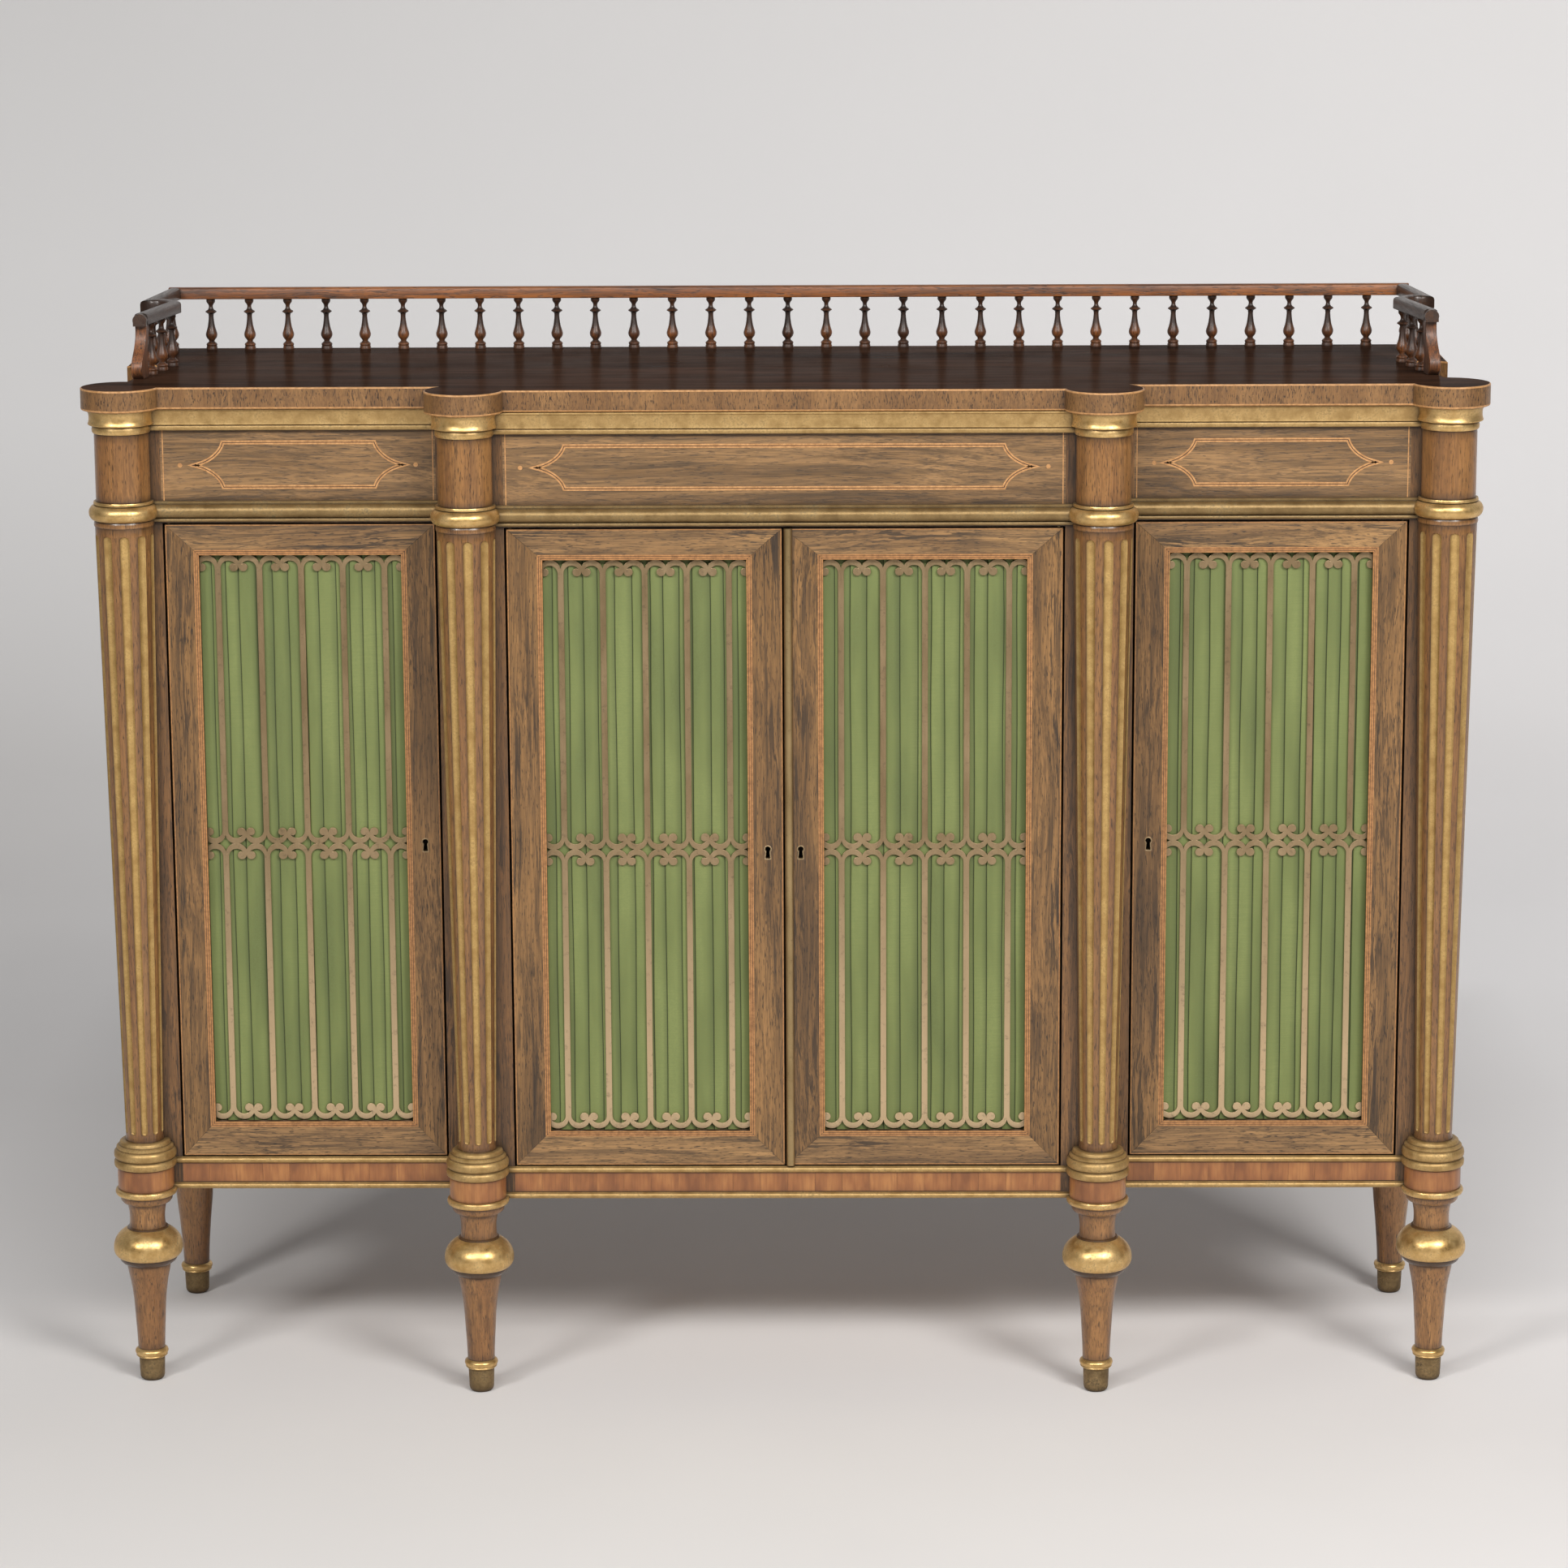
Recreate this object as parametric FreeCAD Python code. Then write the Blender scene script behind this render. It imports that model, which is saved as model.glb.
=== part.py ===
import FreeCAD, Part
import math
import os

V = FreeCAD.Vector

# A side cabinet with a stepped-forward centre bay, four engaged columns, four grilled doors and a
# spindle gallery. Millimetres, +Z up, the front faces -Y, the origin is on the floor under the middle.

# A quarter turn, for the turned pieces.
RIGHT_ANGLE = 90.0

# Depth over the column lobes and height over the gallery.
DEPTH = 405.0
HEIGHT = 1147.0

# Widths across the front: the doors, and what lies between a column's axis and the door beside it.
MID_DOOR_W = 287.0
SIDE_DOOR_W = 282.5
AXIS_TO_HINGE = 41.0
AXIS_TO_FREE = 36.0
HALF_MEETING = 1.5
LOBE_R = 41.0
MID_DOOR_OUT = MID_DOOR_W + HALF_MEETING
INNER_X = MID_DOOR_OUT + AXIS_TO_HINGE
SIDE_DOOR_IN = INNER_X + AXIS_TO_FREE
SIDE_DOOR_OUT = SIDE_DOOR_IN + SIDE_DOOR_W
OUTER_X = SIDE_DOOR_OUT + AXIS_TO_HINGE

# Levels hung from the top.
GALLERY_H = 68.0
TOP_THICK = 23.0
CAP_H = 24.3
FRIEZE_H = 121.0
MOULDING_RISE = 2.0
COLLAR_RISE = 2.5
COLLAR_H = 20.5
TOP_Z = HEIGHT - GALLERY_H
CARCASS_TOP = TOP_Z - TOP_THICK
CAP_BOTTOM = CARCASS_TOP - CAP_H
FRIEZE_BOTTOM = CARCASS_TOP - FRIEZE_H
MOULDING_BOTTOM = FRIEZE_BOTTOM + MOULDING_RISE
COLLAR_BOTTOM = MOULDING_BOTTOM + COLLAR_RISE
COLLAR_TOP = COLLAR_BOTTOM + COLLAR_H

# Levels built up from the floor.
ANKLE_BOTTOM = 26.0
ANKLE_H = 10.0
BALL_BOTTOM = 139.0
BALL_H = 33.0
NECK_H = 36.5
RING_H = 7.5
BAND_H = 24.0
BASE_H = 29.6
APRON_DROP = 4.0
APRON_H = 35.5
ANKLE_TOP = ANKLE_BOTTOM + ANKLE_H
NECK_BOTTOM = BALL_BOTTOM + BALL_H
NECK_TOP = NECK_BOTTOM + NECK_H
BAND_BOTTOM = NECK_TOP + RING_H
BAND_TOP = BAND_BOTTOM + BAND_H
SHAFT_BOTTOM = BAND_TOP + BASE_H
APRON_BOTTOM = BAND_BOTTOM - APRON_DROP
APRON_TOP = APRON_BOTTOM + APRON_H

# Depths: the step of the centre bay, and the faces behind the columns.
STEP = 38.0
FACE_BACK = 6.0
CORNER_IN = 10.0
INNER_Y = LOBE_R - DEPTH / 2
OUTER_Y = INNER_Y + STEP
SIDE_FACE = OUTER_Y + FACE_BACK
MID_FACE = INNER_Y + FACE_BACK
BACK_Y = DEPTH / 2
FRONT_CORNER_X = OUTER_X - CORNER_IN

# Plan of the shaped sides: canted from the front, a hollow return, then straight to the rear post.
CANT_IN = 39.0
REAR_OUT = 1.0
REAR_RUN_SHARE = 0.347
RETURN_DEPTH = 11.0
RETURN_SHARES = [(0.0, 0.0), (0.2, 0.85), (0.6, 0.9), (1.0, 0.0)]
REAR_POST = 47.0
REAR_LEG_IN = 9.0
CANT_END_X = OUTER_X - CANT_IN
REAR_X = OUTER_X + REAR_OUT
RETURN_Y = BACK_Y - DEPTH * REAR_RUN_SHARE
REAR_LEG_X = OUTER_X - REAR_LEG_IN
REAR_LEG_Y = BACK_Y - REAR_POST / 2

# Top board.
TOP_OVERHANG = 16.0
MID_OVERHANG = 10.0

# Boards.
FRAME_BOARD = 22.0
PANEL = 18.0
BACK_BOARD = 10.0
BACK_RECESS = 2.5
PARTITION_IN = 2.5
SHELF_THICK = 16.0
SHELF_SETBACK = 26.0
SHELF_GAP = 1.0
PEG_R = 3.0
PEG_LENGTH = 14.0
PEG_INSET = 40.0
PEG_REAR_INSET = 24.535
PEG_FOOT_GAP = 0.6
PEG_SIDES = 6
DUST_TOP = MOULDING_BOTTOM + PANEL
PARTITION_X = INNER_X - PARTITION_IN
SHELF_Z = (APRON_TOP + FRIEZE_BOTTOM) / 2

# Doors.
DOOR_SILL_GAP = 1.0
DOOR_HEAD_GAP = 1.5
DOOR_THICK = 20.0
DOOR_GAP = 2.0
MEETING_GAP = 1.5
RIGHT_OVERSAIL = 1.0
SIDE_STILE = 35.5
MID_STILE = 37.75
SIDE_OPEN_SHIFT = 0.5
MID_OPEN_SHIFT = 2.0
DOOR_HEAD = 33.0
DOOR_FOOT = 37.5
LIP = 7.0
REBATE = 5.0
ASTRAGAL_W = 9.0
ASTRAGAL_H = 4.5
FIT_GAP = 0.2
DOOR_BOTTOM = APRON_TOP + DOOR_SILL_GAP
DOOR_TOP = FRIEZE_BOTTOM - DOOR_HEAD_GAP
OPEN_TOP = DOOR_TOP - DOOR_HEAD
OPEN_BOTTOM = DOOR_BOTTOM + DOOR_FOOT
OPEN_MID = (OPEN_TOP + OPEN_BOTTOM) / 2
SIDE_OPEN_W = SIDE_DOOR_W - 2 * SIDE_STILE
MID_OPEN_W = MID_DOOR_W - 2 * MID_STILE

# Grille of pierced brass: upright bars whose ends divide into pairs of scrolls.
GRILLE_THICK = 2.0
BAR_COUNT = 5
SPACING_SHARE = 0.2066
BAR_W = 6.0
SCROLL_TIP_R = 4.5
SCROLL_DROP = 9.8
SCROLL_NOTCH = 6.9
PAIR_NOTCH = 5.1
CUSP_TURN = 235.0
CUSP_MEET = 65.0
ROW_OVERLAP = 0.5
SIDE_MID_DROP = 9.25
CENTRE_MID_DROP = 3.25
GRILLE_END_GAP = 0.8
OUTER_STEPS = 2
TIP_STEPS = 2
INNER_STEPS = 1

# Pleated silk behind the grille, and the beads that hold it.
SILK_GAP = 0.4
SILK_BACK = 1.2
PLEAT_COUNT = 11
PLEAT_RISE = 2.6
PLEAT_CREASE_SHARE = 0.12
BEAD_GAP = 0.3
BEAD_W = 4.0

# Locks, their bolts and the keyholes.
LOCK_W = 28.0
LOCK_H = 50.0
LOCK_T = 10.0
LOCK_EDGE = 3.0
LOCK_WALL = 1.5
LOCK_DROP = 4.65
LOCK_Z = OPEN_MID - LOCK_DROP
BOLT_H = 12.0
BOLT_T = 5.5
BOLT_LENGTH = 22.0
BOLT_THROW = 8.0
BOLT_CLEAR = 0.2
LATCH_W = 20.0
LATCH_H = 60.0
LATCH_T = 10.0
LATCH_BOLT_W = 9.0
LATCH_BOLT_T = 4.0
LATCH_TAIL = 6.0
KEEPER_H = 12.0
KEEPER_T = 2.2
KEEPER_CLEAR = 2.0
KEY_X = 16.5
KEY_R = 4.2
KEY_TAIL = 10.5
KEY_TAIL_W = 5.6
KEY_RIM = 1.5
KEY_SIDES = 8
KEY_DEPTH = 1.5

# Pin hinges let into the top and bottom edges of the doors.
PIN_IN = 4.2
PIN_R = 2.0
PIN_CLEAR = 0.05
PIN_LENGTH = 4.8
PLATE_L = 28.0
PLATE_W = 8.0
PLATE_T = 4.0
PIN_SIDES = 12

# Door stops under the dust board.
STOP_L = 30.0
STOP_H = 8.0
STOP_CLEAR = 0.3

# Columns.
CAP_R = 34.7
DRUM_R = 28.4
COLLAR_R = 36.4
SHAFT_TOP_R = 30.2
SHAFT_LOW_R = 19.6
FLUTES = 10
FLUTE_TURN = 8.0
FLUTE_FOOT = 7.8
FLUTE_W_SHARE = 0.33
FLUTE_DEPTH_SHARE = 0.3
BASE_R = 33.2
BAND_R = 30.1
NECK_R = 28.5
BALL_R = 36.8
LEG_R = 31.0
ANKLE_R = 17.7
SABOT_R = 13.8
ROUND_GAP = 0.3

# Profiles of the turned pieces, from the bottom up: share of the radius, share of the height.
CAP_SHARES = [(0.85, 0.0), (0.85, 0.34), (1.0, 0.46), (1.0, 1.0)]
COLLAR_SHARES = [(0.86, 0.0), (1.0, 0.22), (1.0, 0.58), (0.85, 0.82), (0.85, 1.0)]
BASE_SHARES = [(1.0, 0.0), (0.95, 0.34), (1.0, 0.5), (0.93, 0.68), (0.82, 0.86), (0.64, 1.0)]
RING_SHARES = [(0.95, 0.0), (1.0, 0.25), (1.0, 1.0)]
NECK_SHARES = [(0.74, 0.0), (0.67, 0.12), (0.67, 0.52), (0.79, 0.76), (1.0, 1.0)]
BALL_SHARES = [(0.85, 0.0), (1.0, 0.2), (0.98, 0.45), (0.84, 0.76), (0.58, 1.0)]
LEG_SHARES = [(0.47, 0.0), (0.55, 0.55), (0.76, 0.925), (1.0, 1.0)]
ANKLE_SHARES = [(0.8, 0.0), (1.0, 0.4), (0.86, 1.0)]
SABOT_SHARES = [(0.72, 0.0), (0.95, 0.22), (1.0, 1.0)]
REAR_SHARES = [(0.6, 0.0), (0.68, 0.2), (0.78, 0.32), (0.99, 0.53), (1.0, 1.0)]
STRAIGHT_SHARES = [(1.0, 0.0), (1.0, 1.0)]
# The turned pieces are many, so each is a round of flat facets.
LOBE_SIDES = 24
LARGE_SIDES = 14
SMALL_SIDES = 10

# Applied gilt mouldings: share of the projection, share of the height.
CORNICE_H = 17.0
CORNICE_OUT = 10.0
CORNICE_SHARES = [(0.8, 0.0), (0.72, 0.45), (1.0, 1.0)]
BEAD_H = 6.0
BEAD_OUT = 6.0
TORUS_H = 21.5
TORUS_OUT = 12.0
TORUS_SHARES = [(0.45, 0.0), (0.5, 0.18), (1.0, 0.34), (1.0, 0.66), (0.55, 0.84), (0.55, 1.0)]
ROUND_SHARES = [(0.5, 0.0), (1.0, 0.3), (1.0, 0.7), (0.5, 1.0)]
APRON_BEAD_H = 7.2
APRON_BEAD_OUT = 4.0

# Inlaid cartouches of the frieze, each with a dot beyond its points.
INLAY_HALF_H = 23.2
INLAY_BAND = 4.2
INLAY_DEPTH = 1.0
INLAY_POINT = 32.0
INLAY_POINT_BAND = 10.0
INLAY_HOLLOW_X_SHARE = 0.42
INLAY_HOLLOW_Z_SHARE = 0.35
DOT_SIDES = 4
INLAY_END = 64.0
INLAY_Z = (MOULDING_BOTTOM + TORUS_H + CARCASS_TOP - CORNICE_H - BEAD_H) / 2
DOT_OUT = 13.0
DOT_R = 2.4

# Gallery.
RAIL_H = 12.5
RAIL_W = 13.4
RAIL_BACK_IN = 1.5
RAIL_EDGE = 3.0
RAIL_CORNER_IN = 10.0
RAIL_WIDE_OUT = 3.0
RAIL_NECK_IN = 27.0
RAIL_FRONT_IN = 7.0
RAIL_NECK_W = 14.0
RAIL_AHEAD = 1.0
RAIL_FRONT_SHARE = 0.174
RAIL_HOLLOW = 11.5
RAIL_CORNER_X = OUTER_X - RAIL_CORNER_IN
RAIL_WIDE_X = OUTER_X + RAIL_WIDE_OUT
RAIL_NECK_X = OUTER_X - RAIL_NECK_IN
RAIL_FRONT_X = OUTER_X - RAIL_FRONT_IN
RAIL_RETURN_Y = RETURN_Y - RAIL_AHEAD
RAIL_FRONT_Y = OUTER_Y + DEPTH * RAIL_FRONT_SHARE
SPINDLE_BACK_HALF = 16
SPINDLE_CORNER_IN = 5.4
SPINDLE_PITCH = (RAIL_CORNER_X - SPINDLE_CORNER_IN) / SPINDLE_BACK_HALF
SPINDLE_R = 6.2
SPINDLE_SIDES = 5
SPINDLE_FRONT_COUNT = 3
SPINDLE_CLEAR = 4.6
SPINDLE_RETURN_IN = 12.5
SPINDLE_REAR_SHARES = [0.21, 0.49, 0.77]
SPINDLE_SHARES = [(0.98, 0.0), (0.46, 0.15), (1.0, 0.29), (0.42, 0.72), (0.84, 1.0)]
BRACKET_W = 11.5
BRACKET_REACH = 22.0
BRACKET_FOOT = 20.0
BRACKET_NECK = 8.0

CUT_OVER = 1.0
FLAT_SHARE = 0.000001


def box(x0, x1, y0, y1, z0, z1):
    """A block between two corners."""
    return Part.makeBox(x1 - x0, y1 - y0, z1 - z0, V(x0, y0, z0))


def mirrored(shape):
    """The same shape on the other side of the middle."""
    return shape.mirror(V(0, 0, 0), V(1, 0, 0))


def both(shape):
    """A right-hand shape with its left-hand twin."""
    return [mirrored(shape), shape]


def outline(points):
    """A closed wire. A point with six numbers is an arc: a point on the way, then its end."""
    ends = [V(*p[-3:]) for p in points]
    edges = []
    for i, point in enumerate(points):
        start = ends[i - 1]
        if len(point) == 6:
            edges.append(Part.Arc(start, V(*point[:3]), ends[i]).toShape())
        else:
            edges.append(Part.makeLine(start, ends[i]))
    return Part.Wire(edges)


def plan_prism(points, z0, z1):
    """A plan outline of two or four numbers a point, pulled up between two heights."""
    flat = []
    for p in points:
        if len(p) == 4:
            flat.append((p[0], p[1], z0, p[2], p[3], z0))
        else:
            flat.append((p[0], p[1], z0))
    return Part.Face(outline(flat)).extrude(V(0, 0, z1 - z0))


def front_prism(points, y0, y1):
    """An outline in the front view, pulled back between two depths."""
    flat = []
    for p in points:
        if len(p) == 4:
            flat.append((p[0], y0, p[1], p[2], y0, p[3]))
        else:
            flat.append((p[0], y0, p[1]))
    return Part.Face(outline(flat)).extrude(V(0, y1 - y0, 0))


def flat_faces(a, b, c, d):
    """One face through four corners where they lie in a plane, else two."""
    normal = (b - a).cross(c - a)
    rest = d - a
    if abs(normal.dot(rest)) < FLAT_SHARE * normal.Length * rest.Length:
        loops = [[a, b, c, d, a]]
    else:
        loops = [[a, b, c, a], [a, c, d, a]]
    return [Part.Face(Part.makePolygon(loop)) for loop in loops]


def faceted(rings):
    """A solid skinned with flat faces over matching rings of points."""
    faces = [Part.Face(Part.makePolygon(ring + ring[:1])) for ring in (rings[0], rings[-1])]
    for low, high in zip(rings, rings[1:]):
        for i in range(len(low)):
            faces += flat_faces(low[i - 1], low[i], high[i], high[i - 1])
    solid = Part.Solid(Part.Shell(faces))
    solid.fix(0, 0, 0)
    return solid


def round_ring(radius, z, x, y, sides):
    """Corner points of a many-sided round."""
    turns = [2 * math.pi * (i + 1.0 / 2) / sides for i in range(sides)]
    return [V(x + radius * math.cos(t), y + radius * math.sin(t), z) for t in turns]


def turned(shares, radius, z0, z1, x, y, sides):
    """A turned piece about an upright axis."""
    return faceted([round_ring(r * radius, z0 + h * (z1 - z0), x, y, sides) for r, h in shares])


def side_plan(out):
    """Right side of the plan, front to back, moved outward by a distance."""
    slope = (CANT_END_X - FRONT_CORNER_X) / (RETURN_Y - SIDE_FACE)
    width = REAR_X - CANT_END_X
    points = [(FRONT_CORNER_X + out * (1 + slope), SIDE_FACE)]
    for x_share, y_share in RETURN_SHARES:
        points.append((CANT_END_X + x_share * width + out, RETURN_Y + y_share * RETURN_DEPTH - out))
    return points


def column_axes():
    """Axes of the two right-hand columns, inner first."""
    return [(INNER_X, INNER_Y), (OUTER_X, OUTER_Y)]


def corner_blocks(low, high):
    """The carcass corners that the two right-hand columns stand round, inner first."""
    inner = box(0, INNER_X - CORNER_IN, MID_FACE, BACK_Y, low, high)
    inner = inner.fuse(box(0, OUTER_X, SIDE_FACE, BACK_Y, low, high))
    outer = box(0, FRONT_CORNER_X, SIDE_FACE, BACK_Y, low, high)
    return [inner, outer]


def four_turned(shares, radius, z0, z1, sides):
    """One turned piece on each of the four column axes, cut round the carcass corners."""
    pieces = []
    for (x, y), corner in zip(column_axes(), corner_blocks(APRON_BOTTOM, CARCASS_TOP)):
        piece = turned(shares, radius, z0, z1, x, y, sides)
        if z1 > APRON_BOTTOM:
            piece = piece.cut(corner)
        pieces += both(piece)
    return pieces


def clear_of_columns(shape, radius, z0, z1):
    """A moulding stopped against the round pieces of that radius."""
    for x, y in column_axes():
        round_piece = turned(STRAIGHT_SHARES, radius + ROUND_GAP, z0 - CUT_OVER, z1 + CUT_OVER, x, y, LARGE_SIDES)
        shape = shape.cut(round_piece).cut(mirrored(round_piece))
    return shape


def top_board():
    front = SIDE_FACE - TOP_OVERHANG
    middle = MID_FACE - MID_OVERHANG
    right = side_plan(TOP_OVERHANG)
    half = [(0, BACK_Y), (0, middle), (INNER_X, middle), (INNER_X, front), (right[0][0], front)]
    half += right[1:] + [(REAR_X + TOP_OVERHANG, BACK_Y)]
    board = plan_prism(half, CARCASS_TOP, TOP_Z)
    for x, y in column_axes():
        board = board.fuse(turned(STRAIGHT_SHARES, LOBE_R, CARCASS_TOP, TOP_Z, x, y, LOBE_SIDES))
    return [board.fuse(mirrored(board)).removeSplitter()]


def front_run(shares, out, x0, x1, face, z0, height):
    """A straight moulding on a front face."""
    points = [(x0, face, z0)]
    points += [(x0, face - s * out, z0 + h * height) for s, h in shares]
    points.append((x0, face, z0 + height))
    return Part.Face(outline(points)).extrude(V(x1 - x0, 0, 0))


def side_run(shares, out, z0, height):
    """A moulding that follows the shaped side from behind the column to the rear post."""
    back = REAR_LEG_Y - REAR_POST / 2
    plans = [side_plan(s * out) + [(REAR_X + s * out, back)] for s, h in [(0, 0)] + shares + [(0, 1)]]
    levels = [z0] + [z0 + h * height for s, h in shares] + [z0 + height]
    sections = []
    for i in range(len(plans[0])):
        sections.append([V(plan[i][0], plan[i][1], z) for plan, z in zip(plans, levels)])
    return faceted(sections)


def moulding_runs(shares, out, z0, height, radius):
    """One moulding round the cabinet: three front runs and two side runs."""
    inner_edge = INNER_X - CORNER_IN
    runs = [front_run(shares, out, -inner_edge, inner_edge, MID_FACE, z0, height)]
    side = front_run(shares, out, inner_edge, FRONT_CORNER_X, SIDE_FACE, z0, height)
    runs += both(side)
    runs += both(side_run(shares, out, z0, height))
    return [clear_of_columns(run, radius, z0, z0 + height) for run in runs]


def cornice_gilt():
    band_z = CARCASS_TOP - CORNICE_H
    return (moulding_runs(CORNICE_SHARES, CORNICE_OUT, band_z, CORNICE_H, CAP_R)
            + moulding_runs(ROUND_SHARES, BEAD_OUT, band_z - BEAD_H, BEAD_H, CAP_R))


def frieze_moulding_gilt():
    return moulding_runs(TORUS_SHARES, TORUS_OUT, MOULDING_BOTTOM, TORUS_H, COLLAR_R)


def apron_beads_gilt():
    runs = moulding_runs(ROUND_SHARES, APRON_BEAD_OUT, APRON_BOTTOM, APRON_BEAD_H, BASE_R)
    return runs + moulding_runs(ROUND_SHARES, APRON_BEAD_OUT, APRON_TOP - APRON_BEAD_H, APRON_BEAD_H, BASE_R)


def bay_boards(z0, z1):
    """Front boards between the stiles: left, centre, right."""
    mid = MID_DOOR_OUT + DOOR_GAP
    side = box(SIDE_DOOR_IN - DOOR_GAP, SIDE_DOOR_OUT + DOOR_GAP, SIDE_FACE, SIDE_FACE + FRAME_BOARD, z0, z1)
    left, right = both(side)
    return [left, box(-mid, mid, MID_FACE, MID_FACE + FRAME_BOARD, z0, z1), right]


def cartouche(half, grow, spear, centre, face, depth):
    """A long panel outline whose ends are two hollow curves that meet in a point."""
    reach = half + spear
    rise = INLAY_HALF_H + grow
    hollow_x = half + INLAY_HOLLOW_X_SHARE * spear
    hollow_z = INLAY_HOLLOW_Z_SHARE * rise
    points = [(centre + half, INLAY_Z + rise), (centre + hollow_x, INLAY_Z + hollow_z), (centre + reach, INLAY_Z),
              (centre + hollow_x, INLAY_Z - hollow_z), (centre + half, INLAY_Z - rise),
              (centre - half, INLAY_Z - rise), (centre - hollow_x, INLAY_Z - hollow_z), (centre - reach, INLAY_Z),
              (centre - hollow_x, INLAY_Z + hollow_z), (centre - half, INLAY_Z + rise)]
    return front_prism(points, face, face + depth)


def frieze_inlay():
    pieces = []
    side_x = (SIDE_DOOR_IN + SIDE_DOOR_OUT) / 2
    side_half = SIDE_DOOR_W / 2 + DOOR_GAP - INLAY_END
    mid_half = MID_DOOR_OUT + DOOR_GAP - INLAY_END
    for centre, face, half in ((-side_x, SIDE_FACE, side_half), (0, MID_FACE, mid_half),
                               (side_x, SIDE_FACE, side_half)):
        outer = cartouche(half, 0, INLAY_POINT, centre, face, INLAY_DEPTH)
        inner = cartouche(half, -INLAY_BAND, INLAY_POINT - INLAY_POINT_BAND, centre, face, INLAY_DEPTH)
        pieces.append(outer.cut(inner))
        for side in (-1, 1):
            dot_x = centre + side * (half + INLAY_POINT + DOT_OUT)
            turns = [2 * math.pi * i / DOT_SIDES for i in range(DOT_SIDES)]
            dot = [(dot_x + DOT_R * math.cos(t), INLAY_Z + DOT_R * math.sin(t)) for t in turns]
            pieces.append(front_prism(dot, face, face + INLAY_DEPTH))
    return pieces


def frieze_boards(inlay):
    pocket = Part.makeCompound(inlay)
    return [board.cut(pocket) for board in bay_boards(FRIEZE_BOTTOM, CARCASS_TOP)]


def hinge_sockets():
    """Recesses for the fixed hinge plates."""
    return Part.makeCompound([plate.copy() for plate in fixed_plates(False)])


def aprons():
    return [board.cut(hinge_sockets()) for board in bay_boards(APRON_BOTTOM, APRON_TOP)]


def stiles():
    """Upright corner pieces beside the columns: two outer and two stepped inner ones."""
    outer = box(SIDE_DOOR_OUT + DOOR_GAP, FRONT_CORNER_X, SIDE_FACE, SIDE_FACE + FRAME_BOARD,
                APRON_BOTTOM, CARCASS_TOP)
    inner_in = MID_DOOR_OUT + DOOR_GAP
    inner_out = SIDE_DOOR_IN - DOOR_GAP
    step_x = INNER_X - CORNER_IN
    back = SIDE_FACE + FRAME_BOARD
    inner = plan_prism([(inner_in, MID_FACE), (step_x, MID_FACE), (step_x, SIDE_FACE), (inner_out, SIDE_FACE),
                        (inner_out, back), (inner_in, back)], APRON_BOTTOM, CARCASS_TOP)
    return both(outer) + both(inner)


def side_panels():
    """Shaped sides with a straight inner face."""
    back = REAR_LEG_Y - REAR_POST / 2
    start_y = SIDE_FACE + FRAME_BOARD
    share = FRAME_BOARD / (RETURN_Y - SIDE_FACE)
    start_x = FRONT_CORNER_X + (CANT_END_X - FRONT_CORNER_X) * share
    points = [(start_x, start_y)] + side_plan(0)[1:] + [(REAR_X, back), (REAR_X - PANEL, back)]
    points += side_inner()[::-1]
    return both(plan_prism(points, APRON_BOTTOM, CARCASS_TOP))


def side_inner():
    """Inner face of the right side, front to back."""
    start_y = SIDE_FACE + FRAME_BOARD
    share = FRAME_BOARD / (RETURN_Y - SIDE_FACE)
    start_x = FRONT_CORNER_X + (CANT_END_X - FRONT_CORNER_X) * share - PANEL
    turn_y = RETURN_Y + RETURN_DEPTH + PANEL
    return [(start_x, start_y), (CANT_END_X - PANEL, turn_y), (REAR_X - PANEL, turn_y)]


def rear_legs():
    """Square rear posts whose feet are turned legs."""
    half = REAR_POST / 2
    post = box(REAR_LEG_X - half, REAR_LEG_X + half, REAR_LEG_Y - half, REAR_LEG_Y + half,
               APRON_BOTTOM, CARCASS_TOP)
    leg = turned(REAR_SHARES, half, ANKLE_TOP, APRON_BOTTOM, REAR_LEG_X, REAR_LEG_Y, SMALL_SIDES)
    return both(post.fuse(leg).removeSplitter())


def carcass_board(z0, z1):
    """A board over the whole inside, stepped at the centre bay."""
    post_x = REAR_LEG_X - REAR_POST / 2
    post_y = REAR_LEG_Y - REAR_POST / 2
    back = BACK_Y - BACK_RECESS - BACK_BOARD
    mid_x = MID_DOOR_OUT + DOOR_GAP
    mid_y = MID_FACE + FRAME_BOARD
    side_y = SIDE_FACE + FRAME_BOARD
    half = [(0, mid_y), (mid_x, mid_y), (mid_x, side_y)] + side_inner()
    half += [(REAR_X - PANEL, post_y), (post_x, post_y), (post_x, back), (0, back)]
    board = plan_prism(half, z0, z1)
    return [board.fuse(mirrored(board)).removeSplitter()]


def partitions():
    back = BACK_Y - BACK_RECESS - BACK_BOARD
    return both(box(PARTITION_X - PANEL / 2, PARTITION_X + PANEL / 2, SIDE_FACE + FRAME_BOARD, back,
                    APRON_TOP, MOULDING_BOTTOM))


def back_panels():
    """Three back boards that meet behind the partitions."""
    back = BACK_Y - BACK_RECESS
    post_x = REAR_LEG_X - REAR_POST / 2
    side = box(PARTITION_X, post_x, back - BACK_BOARD, back, APRON_BOTTOM, CARCASS_TOP)
    left, right = both(side)
    return [left, box(-PARTITION_X, PARTITION_X, back - BACK_BOARD, back, APRON_BOTTOM, CARCASS_TOP), right]


def shelf_front(face):
    return face + FRAME_BOARD + SHELF_SETBACK


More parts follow.
